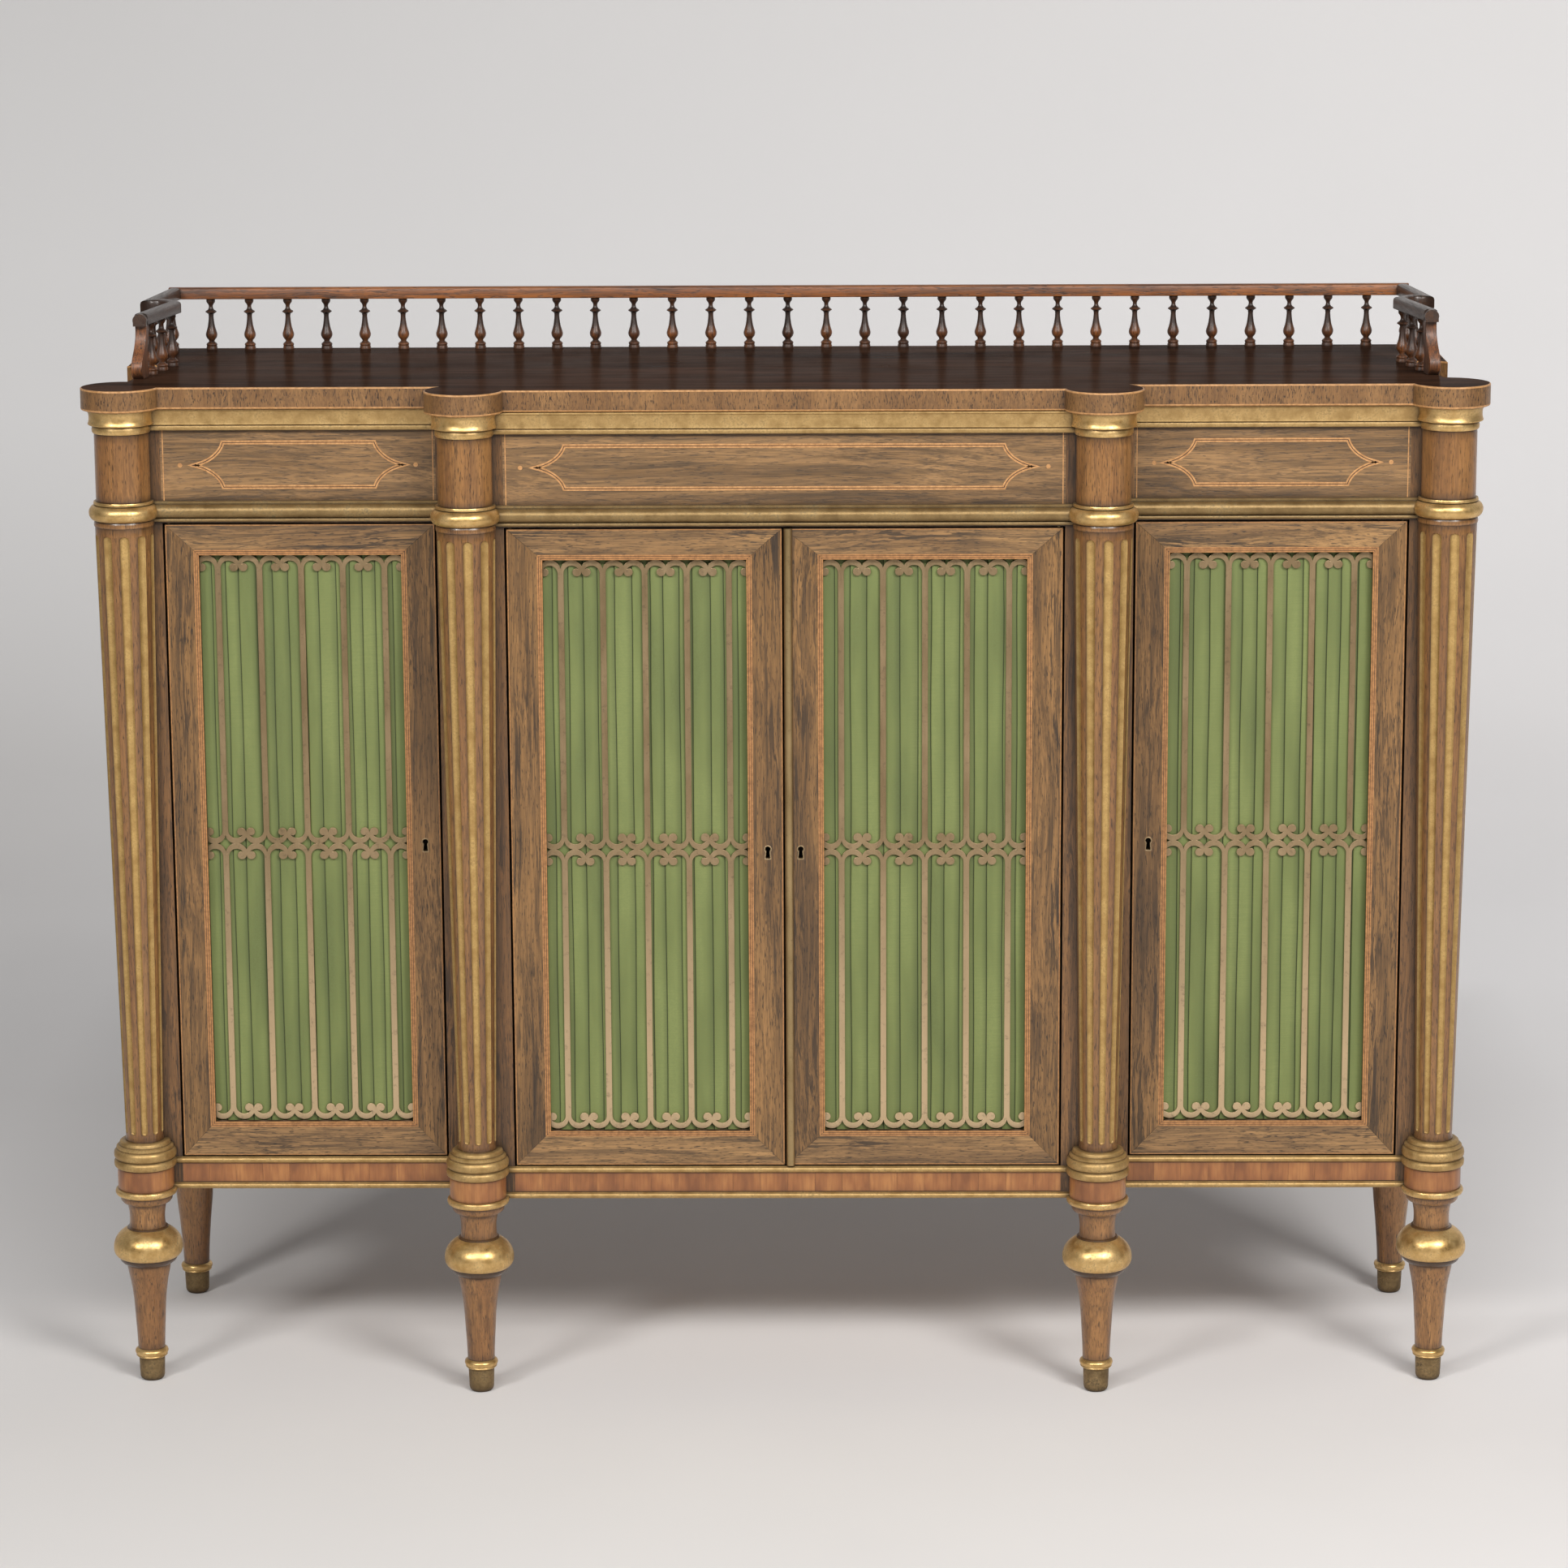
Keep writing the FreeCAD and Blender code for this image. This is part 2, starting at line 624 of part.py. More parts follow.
def shelves():
    """One loose shelf in each bay."""
    back = BACK_Y - BACK_RECESS - BACK_BOARD - SHELF_GAP
    edge = PARTITION_X - PANEL / 2 - SHELF_GAP
    centre = box(-edge, edge, shelf_front(SIDE_FACE), back, SHELF_Z, SHELF_Z + SHELF_THICK)
    inner = PARTITION_X + PANEL / 2 + SHELF_GAP
    start, turn, rear = side_inner()
    post_y = REAR_LEG_Y - REAR_POST / 2
    post_x = REAR_LEG_X - REAR_POST / 2
    front = shelf_front(SIDE_FACE)
    share = (front - start[1]) / (turn[1] - start[1])
    front_x = start[0] + (turn[0] - start[0]) * share
    side = plan_prism([(inner, front), (front_x - SHELF_GAP, front), (turn[0] - SHELF_GAP, turn[1] + SHELF_GAP),
                       (rear[0] - SHELF_GAP, rear[1] + SHELF_GAP), (rear[0] - SHELF_GAP, post_y - SHELF_GAP),
                       (post_x - SHELF_GAP, post_y - SHELF_GAP), (post_x - SHELF_GAP, back), (inner, back)],
                      SHELF_Z, SHELF_Z + SHELF_THICK)
    left, right = both(side)
    return [left, centre, right]


def shelf_pegs():
    """Brass pegs under the shelves, in the partitions and the sides."""
    pegs = []
    front = shelf_front(SIDE_FACE) + PEG_INSET
    start, turn, rear = side_inner()
    back = turn[1] + PEG_REAR_INSET
    share = (front - start[1]) / (turn[1] - start[1])
    cant_x = start[0] + (turn[0] - start[0]) * share
    z = SHELF_Z - PEG_R
    faces = [(PARTITION_X - PANEL / 2, front, -1), (PARTITION_X - PANEL / 2, back, -1),
             (PARTITION_X + PANEL / 2, front, 1), (PARTITION_X + PANEL / 2, back, 1),
             (cant_x - PEG_FOOT_GAP, front, -1), (rear[0], back, -1)]
    for x, y, way in faces:
        peg = turned(STRAIGHT_SHARES, PEG_R, 0, PEG_LENGTH, 0, 0, PEG_SIDES)
        peg.rotate(V(0, 0, 0), V(0, 1, 0), RIGHT_ANGLE * way)
        peg.translate(V(x, y, z))
        pegs += both(peg)
    return pegs


def shaft_ring(z, depth_share):
    """Outline of the shaft at a height: a fillet, then a hollow of three flats, for each flute."""
    height_share = (z - SHAFT_BOTTOM) / (COLLAR_BOTTOM - SHAFT_BOTTOM)
    radius = SHAFT_LOW_R + (SHAFT_TOP_R - SHAFT_LOW_R) * height_share
    pitch = 2 * math.pi / FLUTES
    half_open = FLUTE_W_SHARE / 2
    half_floor = half_open / 2
    floor = radius * (1 - FLUTE_DEPTH_SHARE * FLUTE_W_SHARE * depth_share)
    points = []
    for i in range(FLUTES):
        middle = math.radians(FLUTE_TURN - RIGHT_ANGLE) + i * pitch
        for turn, r in ((-half_open, radius), (-half_floor, floor), (half_floor, floor), (half_open, radius)):
            points.append(V(r * math.cos(middle + turn), r * math.sin(middle + turn), z))
    return points


def fluted_shaft():
    """The tapered shaft on the axis x = y = 0, its flutes running out at both ends."""
    low = SHAFT_BOTTOM + FLUTE_FOOT + FLUTE_W_SHARE * SHAFT_LOW_R
    high = COLLAR_BOTTOM - FLUTE_FOOT - FLUTE_W_SHARE * SHAFT_TOP_R
    levels = [(SHAFT_BOTTOM, 0), (low, 1), (high, 1), (COLLAR_BOTTOM, 0)]
    return faceted([shaft_ring(z, depth) for z, depth in levels])


def columns():
    """Four fluted shafts and the plain drums above their collars."""
    shaft = fluted_shaft()
    pieces = []
    for (x, y), corner in zip(column_axes(), corner_blocks(APRON_BOTTOM, CARCASS_TOP)):
        piece = shaft.copy()
        piece.translate(V(x, y, 0))
        pieces += both(piece.cut(corner))
    return pieces + four_turned(STRAIGHT_SHARES, DRUM_R, COLLAR_TOP, CAP_BOTTOM, LARGE_SIDES)


def six_feet(shares, radius, z0, z1):
    """One turned piece on each of the six legs."""
    pieces = []
    for x, y in column_axes() + [(REAR_LEG_X, REAR_LEG_Y)]:
        pieces += both(turned(shares, radius, z0, z1, x, y, SMALL_SIDES))
    return pieces


def front_legs():
    return (four_turned(NECK_SHARES, NECK_R, NECK_BOTTOM, NECK_TOP, SMALL_SIDES)
            + four_turned(LEG_SHARES, LEG_R, ANKLE_TOP, BALL_BOTTOM, SMALL_SIDES))


def column_bases_gilt():
    return (four_turned(BASE_SHARES, BASE_R, BAND_TOP, SHAFT_BOTTOM, LARGE_SIDES)
            + four_turned(RING_SHARES, BASE_R, NECK_TOP, BAND_BOTTOM, LARGE_SIDES))


def rail(stations):
    """A gallery rail with softened upper edges, through pairs of outer and inner plan points."""
    low = HEIGHT - RAIL_H
    edge_share = RAIL_EDGE / RAIL_W
    rings = []
    for outer, inner in stations:
        ring = []
        for share, z in ((0, low), (0, HEIGHT - RAIL_EDGE), (edge_share, HEIGHT), (1 - edge_share, HEIGHT),
                         (1, HEIGHT - RAIL_EDGE), (1, low)):
            ring.append(V(outer[0] + (inner[0] - outer[0]) * share, outer[1] + (inner[1] - outer[1]) * share, z))
        rings.append(ring)
    return faceted(rings)


def side_rail_stations():
    """The right rail in plan: straight behind, a hollow return, then canted to the front."""
    back = BACK_Y - RAIL_BACK_IN - RAIL_W
    width = RAIL_WIDE_X - RAIL_NECK_X
    inner_neck = RAIL_NECK_X - RAIL_NECK_W
    stations = [((RAIL_CORNER_X, back), (RAIL_CORNER_X - RAIL_W, back)),
                ((RAIL_WIDE_X, RAIL_RETURN_Y), (RAIL_WIDE_X - RAIL_W, RAIL_RETURN_Y + RAIL_W))]
    for x_share, y_share in RETURN_SHARES[2:0:-1]:
        x = RAIL_NECK_X + x_share * width
        y = RAIL_RETURN_Y + y_share * RAIL_HOLLOW
        stations.append(((x, y), (x - RAIL_NECK_W / 2, y + RAIL_W)))
    stations.append(((RAIL_NECK_X, RAIL_RETURN_Y), (inner_neck, RAIL_RETURN_Y)))
    stations.append(((RAIL_FRONT_X, RAIL_FRONT_Y), (RAIL_FRONT_X - RAIL_NECK_W, RAIL_FRONT_Y)))
    return stations


def gallery_rails():
    back = BACK_Y - RAIL_BACK_IN
    ends = [((x, back), (x, back - RAIL_W)) for x in (-RAIL_CORNER_X, RAIL_CORNER_X)]
    return [rail(ends)] + both(rail(side_rail_stations()))


def spindle(x, y):
    """A small turned baluster, with few sides because there are many."""
    return turned(SPINDLE_SHARES, SPINDLE_R, TOP_Z, HEIGHT - RAIL_H, x, y, SPINDLE_SIDES)


def gallery_spindles():
    rail_y = BACK_Y - RAIL_BACK_IN - RAIL_W / 2
    pieces = [spindle(i * SPINDLE_PITCH, rail_y) for i in range(-SPINDLE_BACK_HALF, SPINDLE_BACK_HALF + 1)]
    first_y = RAIL_FRONT_Y + BRACKET_FOOT + SPINDLE_CLEAR + SPINDLE_R
    last_y = RAIL_RETURN_Y - SPINDLE_RETURN_IN
    for i in range(SPINDLE_FRONT_COUNT):
        y = first_y + (last_y - first_y) * i / (SPINDLE_FRONT_COUNT - 1)
        share = (y - RAIL_FRONT_Y) / (RAIL_RETURN_Y - RAIL_FRONT_Y)
        pieces += both(spindle(RAIL_FRONT_X + (RAIL_NECK_X - RAIL_FRONT_X) * share - RAIL_NECK_W / 2, y))
    rear_y = BACK_Y - RAIL_BACK_IN - RAIL_W
    for share in SPINDLE_REAR_SHARES:
        x = RAIL_WIDE_X + (RAIL_CORNER_X - RAIL_WIDE_X) * share - RAIL_W / 2
        pieces += both(spindle(x, RAIL_RETURN_Y + (rear_y - RAIL_RETURN_Y) * share))
    return pieces


def gallery_brackets():
    """Scrolled supports under the front ends of the side rails."""
    top = HEIGHT - RAIL_H
    rise = top - TOP_Z
    back = RAIL_FRONT_Y + BRACKET_FOOT
    low_front = RAIL_FRONT_Y - BRACKET_REACH
    points = [(RAIL_FRONT_Y, top), (RAIL_FRONT_Y - BRACKET_NECK / 2, top - rise / 3), (low_front, TOP_Z + rise / 3),
              (low_front - BRACKET_NECK / 4, TOP_Z + rise / 6), (low_front + BRACKET_NECK / 4, TOP_Z),
              (back - BRACKET_NECK, TOP_Z), (back - BRACKET_NECK * 5 / 4, TOP_Z + rise / 4),
              (back - BRACKET_NECK * 3 / 4, TOP_Z + rise * 2 / 3), (back, top)]
    flat = []
    x = RAIL_FRONT_X - BRACKET_W
    for p in points:
        if len(p) == 4:
            flat.append((x, p[0], p[1], x, p[2], p[3]))
        else:
            flat.append((x, p[0], p[1]))
    return both(Part.Face(outline(flat)).extrude(V(BRACKET_W, 0, 0)))


def door_row(name, x0, x1, face, hinge, shift, open_w, mid_drop):
    """One door: name, edges, front face, hinge side, middle and width of its opening, grille's middle height."""
    return name, x0, x1, face, hinge, (x0 + x1) / 2 + shift, open_w, OPEN_MID - mid_drop


DOORS = [door_row("door_left", -SIDE_DOOR_OUT, -SIDE_DOOR_IN, SIDE_FACE, -1, -SIDE_OPEN_SHIFT, SIDE_OPEN_W,
                  SIDE_MID_DROP),
         door_row("door_centre_left", -MID_DOOR_OUT, -RIGHT_OVERSAIL - MEETING_GAP, MID_FACE, -1, 0, MID_OPEN_W,
                  CENTRE_MID_DROP),
         door_row("door_centre_right", -RIGHT_OVERSAIL, MID_DOOR_OUT, MID_FACE, 1, MID_OPEN_SHIFT, MID_OPEN_W,
                  CENTRE_MID_DROP),
         door_row("door_right", SIDE_DOOR_IN, SIDE_DOOR_OUT, SIDE_FACE, 1, SIDE_OPEN_SHIFT, SIDE_OPEN_W,
                  SIDE_MID_DROP)]
LATCHED_DOOR = "door_centre_left"


def pin_place(door):
    """Axis of a door's pins."""
    name, x0, x1, face, hinge, open_x, open_w, mid_z = door
    edge = x1 if hinge > 0 else x0
    return edge - hinge * PIN_IN, face + PIN_IN


def fixed_plates(with_pins):
    """Hinge plates in the aprons and frieze boards, each with its pin."""
    plates = []
    for door in DOORS:
        x, y = pin_place(door)
        hinge = door[4]
        x_start = x + hinge * PLATE_W / 2
        x_end = x_start - hinge * PLATE_L
        levels = [(APRON_TOP - PLATE_T, APRON_TOP, 1), (FRIEZE_BOTTOM, FRIEZE_BOTTOM + PLATE_T, -1)]
        for z0, z1, way in levels:
            plate = box(min(x_start, x_end), max(x_start, x_end), y - PIN_IN / 2, y - PIN_IN / 2 + PLATE_W, z0, z1)
            if with_pins:
                seat = z1 if way > 0 else z0
                tip = seat + way * PIN_LENGTH
                if way > 0:
                    pin = Part.makeCylinder(PIN_R, PIN_LENGTH, V(x, y, seat))
                else:
                    pin = turned(STRAIGHT_SHARES, PIN_R, tip, seat, x, y, PIN_SIDES)
                plate = plate.fuse(pin)
            plates.append(plate)
    return plates


def door_plates(door, with_holes):
    """Brass plates in the door's edges that turn on the pins."""
    x, y = pin_place(door)
    hinge = door[4]
    x_start = x + hinge * PLATE_W / 4
    x_end = x_start - hinge * PLATE_L
    plates = []
    for z0, z1 in ((DOOR_BOTTOM, DOOR_BOTTOM + PLATE_T), (DOOR_TOP - PLATE_T, DOOR_TOP)):
        plate = box(min(x_start, x_end), max(x_start, x_end), y - PIN_IN / 4 * 3, y - PIN_IN / 4 * 3 + PLATE_W,
                    z0, z1)
        plates.append(plate.cut(pin_holes(door)) if with_holes else plate)
    return plates


def pin_holes(door):
    """Holes for the two pins of a door."""
    x, y = pin_place(door)
    radius = (PIN_R + PIN_CLEAR) / math.cos(math.pi / PIN_SIDES)
    low = Part.makeCylinder(PIN_R + PIN_CLEAR, PLATE_T, V(x, y, DOOR_BOTTOM))
    high = turned(STRAIGHT_SHARES, radius, DOOR_TOP - PLATE_T, DOOR_TOP, x, y, PIN_SIDES)
    return Part.makeCompound([low, high])


def key_place(door):
    """Middle of a door's keyhole."""
    name, x0, x1, face, hinge, open_x, open_w, mid_z = door
    edge = x0 if hinge > 0 else x1
    return edge + hinge * KEY_X


def keyhole(door, grow, depth, deep_from):
    """A keyhole outline, pulled back from the door's face."""
    x = key_place(door)
    y = door[3] + deep_from
    radius = KEY_R + grow
    tail = KEY_TAIL_W / 2 + grow
    turns = [2 * math.pi * (i + 1.0 / 2) / KEY_SIDES for i in range(KEY_SIDES)]
    round_head = [(x + radius * math.cos(t), LOCK_Z + KEY_R + radius * math.sin(t)) for t in turns]
    head = front_prism(round_head, y, y + depth)
    slot = box(x - tail, x + tail, y, y + depth, LOCK_Z - KEY_TAIL - grow, LOCK_Z + KEY_R)
    return head.fuse(slot).removeSplitter()


def escutcheon(door):
    """A thin brass keyhole lining."""
    return keyhole(door, 0, KEY_DEPTH, 0).cut(keyhole(door, -KEY_RIM, KEY_DEPTH, 0))


def door_brasses(door):
    return door_plates(door, True) + [escutcheon(door)]


def door_frame(door):
    """Two stiles and two rails, mitred, with a rebate behind the opening."""
    name, x0, x1, face, hinge, open_x, open_w, mid_z = door
    in0 = open_x - open_w / 2
    in1 = open_x + open_w / 2
    outer = [(x0, DOOR_BOTTOM), (x1, DOOR_BOTTOM), (x1, DOOR_TOP), (x0, DOOR_TOP)]
    inner = [(in0, OPEN_BOTTOM), (in1, OPEN_BOTTOM), (in1, OPEN_TOP), (in0, OPEN_TOP)]
    rebate = [(in0 - REBATE, OPEN_BOTTOM - REBATE), (in1 + REBATE, OPEN_BOTTOM - REBATE),
              (in1 + REBATE, OPEN_TOP + REBATE), (in0 - REBATE, OPEN_TOP + REBATE)]
    cuts = Part.makeCompound(door_plates(door, False) + [escutcheon(door)])
    members = []
    for i in range(4):
        j = (i + 1) % 4
        front = front_prism([outer[i], outer[j], inner[j], inner[i]], face, face + LIP)
        rear = front_prism([outer[i], outer[j], rebate[j], rebate[i]], face + LIP, face + DOOR_THICK)
        member = front.fuse(rear).removeSplitter().cut(cuts)
        member = member.cut(keyhole(door, -KEY_RIM, DOOR_THICK + CUT_OVER, 0))
        members.append(member)
    return members


def rebate_box(door, gap):
    """Left, right, bottom and top of the space in a door's rebate, with a gap all round."""
    name, x0, x1, face, hinge, open_x, open_w, mid_z = door
    in0 = open_x - open_w / 2
    in1 = open_x + open_w / 2
    return in0 - REBATE + gap, in1 + REBATE - gap, OPEN_BOTTOM - REBATE + gap, OPEN_TOP + REBATE - gap


def arc_points(cx, cz, radius, start, end, steps):
    """Points of a short arc, with few steps because the scrolls are many."""
    points = []
    for i in range(steps + 1):
        turn = math.radians(start + (end - start) * i / steps)
        points.append((cx + radius * math.cos(turn), cz + radius * math.sin(turn)))
    return points


def scroll_half(spacing):
    """Right half of a bar's scrolled head, its top at height 0, from the notch to the bar's side."""
    pair_x = spacing / 2
    tip_x = pair_x - SCROLL_TIP_R
    lift = (SCROLL_NOTCH + PAIR_NOTCH) / 2
    outer_r = (pair_x ** 2 / 4 + lift ** 2) / (2 * lift)
    span = math.degrees(math.asin(pair_x / 2 / outer_r))
    quarter = math.degrees(math.pi / 2)
    points = arc_points(pair_x / 2, -outer_r, outer_r, quarter + span, quarter - span, OUTER_STEPS)
    points[0] = (0, -SCROLL_NOTCH)
    points[-1] = (pair_x, -PAIR_NOTCH)
    points += arc_points(tip_x, -SCROLL_DROP, SCROLL_TIP_R, 0, -CUSP_TURN, TIP_STEPS)
    cusp_x, cusp_z = points[-1]
    meet = math.radians(CUSP_MEET)
    inner_r = (cusp_x - BAR_W / 2) / (1 + math.cos(meet))
    inner_z = cusp_z - inner_r * math.sin(meet)
    return points + arc_points(BAR_W / 2 + inner_r, inner_z, inner_r, CUSP_MEET, 2 * quarter, INNER_STEPS)[1:]


def bar_outline(x, spacing, low, high):
    """Front outline of one bar with scrolled heads at both ends."""
    half = scroll_half(spacing)
    right_top = [(x + px, high + pz) for px, pz in half]
    right_low = [(x + px, low - pz) for px, pz in half[::-1]]
    left_low = [(x - px, low - pz) for px, pz in half[1:]]
    left_top = [(x - px, high + pz) for px, pz in half[:0:-1]]
    return right_top + right_low + left_low + left_top


def door_grille(door):
    """Two rows of scrolled bars in one pierced sheet, trimmed to the rebate."""
    name, x0, x1, face, hinge, open_x, open_w, mid_z = door
    y0 = face + LIP + FIT_GAP
    y1 = y0 + GRILLE_THICK
    rows = [(mid_z - ROW_OVERLAP / 2, OPEN_TOP - GRILLE_END_GAP),
            (OPEN_BOTTOM + GRILLE_END_GAP, mid_z + ROW_OVERLAP / 2)]
    left, right, low, high = rebate_box(door, FIT_GAP)
    spacing = open_w * SPACING_SHARE
    bars = []
    for z0, z1 in rows:
        for i in range(BAR_COUNT):
            x = open_x + (i - (BAR_COUNT - 1) / 2) * spacing
            bars.append(front_prism(bar_outline(x, spacing, z0, z1), y0, y1))
    head = box(left, right, y0, y1, OPEN_TOP - GRILLE_END_GAP - CUT_OVER, high)
    foot = box(left, right, y0, y1, low, OPEN_BOTTOM + GRILLE_END_GAP + CUT_OVER)
    sheet = head.fuse(bars + [foot])
    return [sheet.common(box(left, right, y0, y1, low, high)).removeSplitter()]


def door_silk(door):
    """Silk in flat upright pleats, each lapping over the next."""
    left, right, low, high = rebate_box(door, SILK_GAP)
    face = door[3]
    front = face + LIP + FIT_GAP + GRILLE_THICK + SILK_GAP
    back = front + PLEAT_RISE + SILK_BACK
    pleat = (right - left) / PLEAT_COUNT
    points = [(right, back), (left, back)]
    for i in range(PLEAT_COUNT):
        start = left + i * pleat
        points.append((start, front + PLEAT_RISE))
        points.append((start + pleat * PLEAT_CREASE_SHARE, front))
    points.append((right, front + PLEAT_RISE))
    return [plan_prism(points, low, high)]


def door_beads(door):
    """Four wooden beads that hold the silk in the rebate."""
    left, right, low, high = rebate_box(door, FIT_GAP)
    face = door[3]
    y0 = face + LIP + FIT_GAP + GRILLE_THICK + SILK_GAP + PLEAT_RISE + SILK_BACK + BEAD_GAP
    y1 = face + DOOR_THICK
    corners = [(left, low), (right, low), (right, high), (left, high)]
    inner = [(left + BEAD_W, low + BEAD_W), (right - BEAD_W, low + BEAD_W), (right - BEAD_W, high - BEAD_W),
             (left + BEAD_W, high - BEAD_W)]
    beads = []
    for i in range(4):
        j = (i + 1) % 4
        beads.append(front_prism([corners[i], corners[j], inner[j], inner[i]], y0, y1))
    return beads


def lock_box(door):
    """Outer corners of a lock case: x from, x to, y from, y to."""
    name, x0, x1, face, hinge, open_x, open_w, mid_z = door
    edge = x0 if hinge > 0 else x1
    first = edge + hinge * LOCK_EDGE
    last = first + hinge * LOCK_W
    back = face + DOOR_THICK
    return min(first, last), max(first, last), back, back + LOCK_T


def bolt_solid(door, grow):
    """The sliding bolt of a door's lock, drawn back."""
    x0, x1, y0, y1 = lock_box(door)
    hinge = door[4]
    mid_y = y1 - LOCK_WALL - BOLT_CLEAR - BOLT_T / 2
    start = x0 if hinge > 0 else x1
    end = start + hinge * BOLT_LENGTH
    reach = BOLT_THROW if grow else 0
    return box(min(start, end + hinge * grow) - (reach if hinge > 0 else 0),
               max(start, end + hinge * grow) + (reach if hinge < 0 else 0),
               mid_y - BOLT_T / 2 - grow, mid_y + BOLT_T / 2 + grow,
               LOCK_Z - BOLT_H / 2 - grow, LOCK_Z + BOLT_H / 2 + grow)


def latch_bolt(door, grow):
    """The upright flat bolt behind the left centre door, drawn up."""
    x = door[2] - LOCK_EDGE - LATCH_W / 2
    y = door[3] + DOOR_THICK + LATCH_T / 2
    low = APRON_TOP + KEEPER_H + KEEPER_CLEAR
    half_w = LATCH_BOLT_W / 2 + grow
    half_t = LATCH_BOLT_T / 2 + grow
    return box(x - half_w, x + half_w, y - half_t, y + half_t, low - grow, low + LATCH_H + LATCH_TAIL + grow)


def door_lock(door):
    """A lock case screwed to the back of the meeting stile, or the guide of the upright bolt."""
    if door[0] == LATCHED_DOOR:
        right = door[2] - LOCK_EDGE
        back = door[3] + DOOR_THICK
        low = APRON_TOP + KEEPER_H + KEEPER_CLEAR
        case = box(right - LATCH_W, right, back, back + LATCH_T, low, low + LATCH_H)
        return [case.cut(latch_bolt(door, BOLT_CLEAR))]
    x0, x1, y0, y1 = lock_box(door)
    case = box(x0, x1, y0, y1, LOCK_Z - LOCK_H / 2, LOCK_Z + LOCK_H / 2)
    return [case.cut(bolt_solid(door, BOLT_CLEAR))]


def door_bolt(door):
    if door[0] == LATCHED_DOOR:
        return [latch_bolt(door, 0)]
    return [bolt_solid(door, 0)]


def astragal():
    """The brass half-round on the meeting edge of the right centre door."""
    name, x0, x1, face, hinge, open_x, open_w, mid_z = DOORS[2]
    points = [(x0, face), (x0 + ASTRAGAL_W / 2, face - ASTRAGAL_H, x0 + ASTRAGAL_W, face)]
    return plan_prism(points, DOOR_BOTTOM, DOOR_TOP)


def door_stops():
    """Blocks under the dust board that the doors close against, and the keeper that the upright bolt drops behind."""
    stops = []
    for door in DOORS:
        name, x0, x1, face, hinge, open_x, open_w, mid_z = door
        y0 = face + DOOR_THICK + STOP_CLEAR
        y1 = y0 + STOP_H
        seat = max(face + FRAME_BOARD, y0)
        block = box(open_x - STOP_L / 2, open_x + STOP_L / 2, seat, seat + STOP_H, MOULDING_BOTTOM - STOP_H,
                    MOULDING_BOTTOM)
        nose = box(open_x - STOP_L / 2, open_x + STOP_L / 2, y0, seat, MOULDING_BOTTOM - STOP_H, FRIEZE_BOTTOM)
        stops.append(block.fuse(nose).removeSplitter())
    latched = DOORS[1]
    right = latched[2] - LOCK_EDGE
    y0 = latched[3] + DOOR_THICK + STOP_CLEAR
    stops.append(box(right - LATCH_W, right, y0, y0 + KEEPER_T, APRON_TOP, APRON_TOP + KEEPER_H))
    return stops


def build():
    """Every sub-part by name, each a list of solids."""
    inlay = frieze_inlay()
    parts = {
        "top_board": top_board(),
        "cornice_gilt": cornice_gilt(),
        "frieze_moulding_gilt": frieze_moulding_gilt(),
        "frieze_boards": [b.cut(hinge_sockets()) for b in frieze_boards(inlay)],
        "frieze_inlay": inlay,
        "stiles": stiles(),
        "aprons": aprons(),
        "apron_beads_gilt": apron_beads_gilt(),
        "side_panels": side_panels(),
        "rear_legs": rear_legs(),
        "bottom_board": carcass_board(APRON_TOP - PANEL, APRON_TOP),
        "dust_board": carcass_board(MOULDING_BOTTOM, DUST_TOP),
        "partitions": partitions(),
        "back_panels": back_panels(),
        "shelves": shelves(),
        "shelf_pegs": shelf_pegs(),
        "columns": columns(),
        "column_caps_gilt": four_turned(CAP_SHARES, CAP_R, CAP_BOTTOM, CARCASS_TOP, LARGE_SIDES),
        "column_collars_gilt": four_turned(COLLAR_SHARES, COLLAR_R, COLLAR_BOTTOM, COLLAR_TOP, LARGE_SIDES),
        "column_bases_gilt": column_bases_gilt(),
        "column_bands": four_turned(STRAIGHT_SHARES, BAND_R, BAND_BOTTOM, BAND_TOP, LARGE_SIDES),
        "front_legs": front_legs(),
        "leg_balls_gilt": four_turned(BALL_SHARES, BALL_R, BALL_BOTTOM, NECK_BOTTOM, LARGE_SIDES),
        "leg_rings_gilt": six_feet(ANKLE_SHARES, ANKLE_R, ANKLE_BOTTOM, ANKLE_TOP),
        "leg_sabots": six_feet(SABOT_SHARES, SABOT_R, 0, ANKLE_BOTTOM),
        "gallery_rails": gallery_rails(),
        "gallery_spindles": gallery_spindles(),
        "gallery_brackets": gallery_brackets(),
        "hinge_pins": fixed_plates(True),
        "door_stops": door_stops(),
    }
    for door in DOORS:
        name = door[0]
        parts[name + "_frame"] = door_frame(door)
        parts[name + "_grille"] = door_grille(door)
        parts[name + "_silk"] = door_silk(door)
        parts[name + "_beads"] = door_beads(door)
        parts[name + "_lock"] = door_lock(door)
        parts[name + "_brasses"] = door_brasses(door)
        parts[name + "_bolt"] = door_bolt(door)
    parts[DOORS[2][0] + "_brasses"].append(astragal())
    return parts


def main():
    os.makedirs("parts", exist_ok=True)
    for name, solids in build().items():
        flat = [s for piece in solids for s in piece.Solids]
        shape = flat[0] if len(flat) == 1 else Part.makeCompound(flat)
        shape.exportStep("parts/" + name + ".step")
        print(name, len(flat), "solids")


main()
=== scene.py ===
# Side cabinet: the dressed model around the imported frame.
# Lengths are in millimetres, texture scales in cells per metre.
import random
from math import asin, atan2, cos, degrees, dist, hypot, pi, radians, sin, sqrt

import bmesh
import bpy
from mathutils import Matrix, Vector


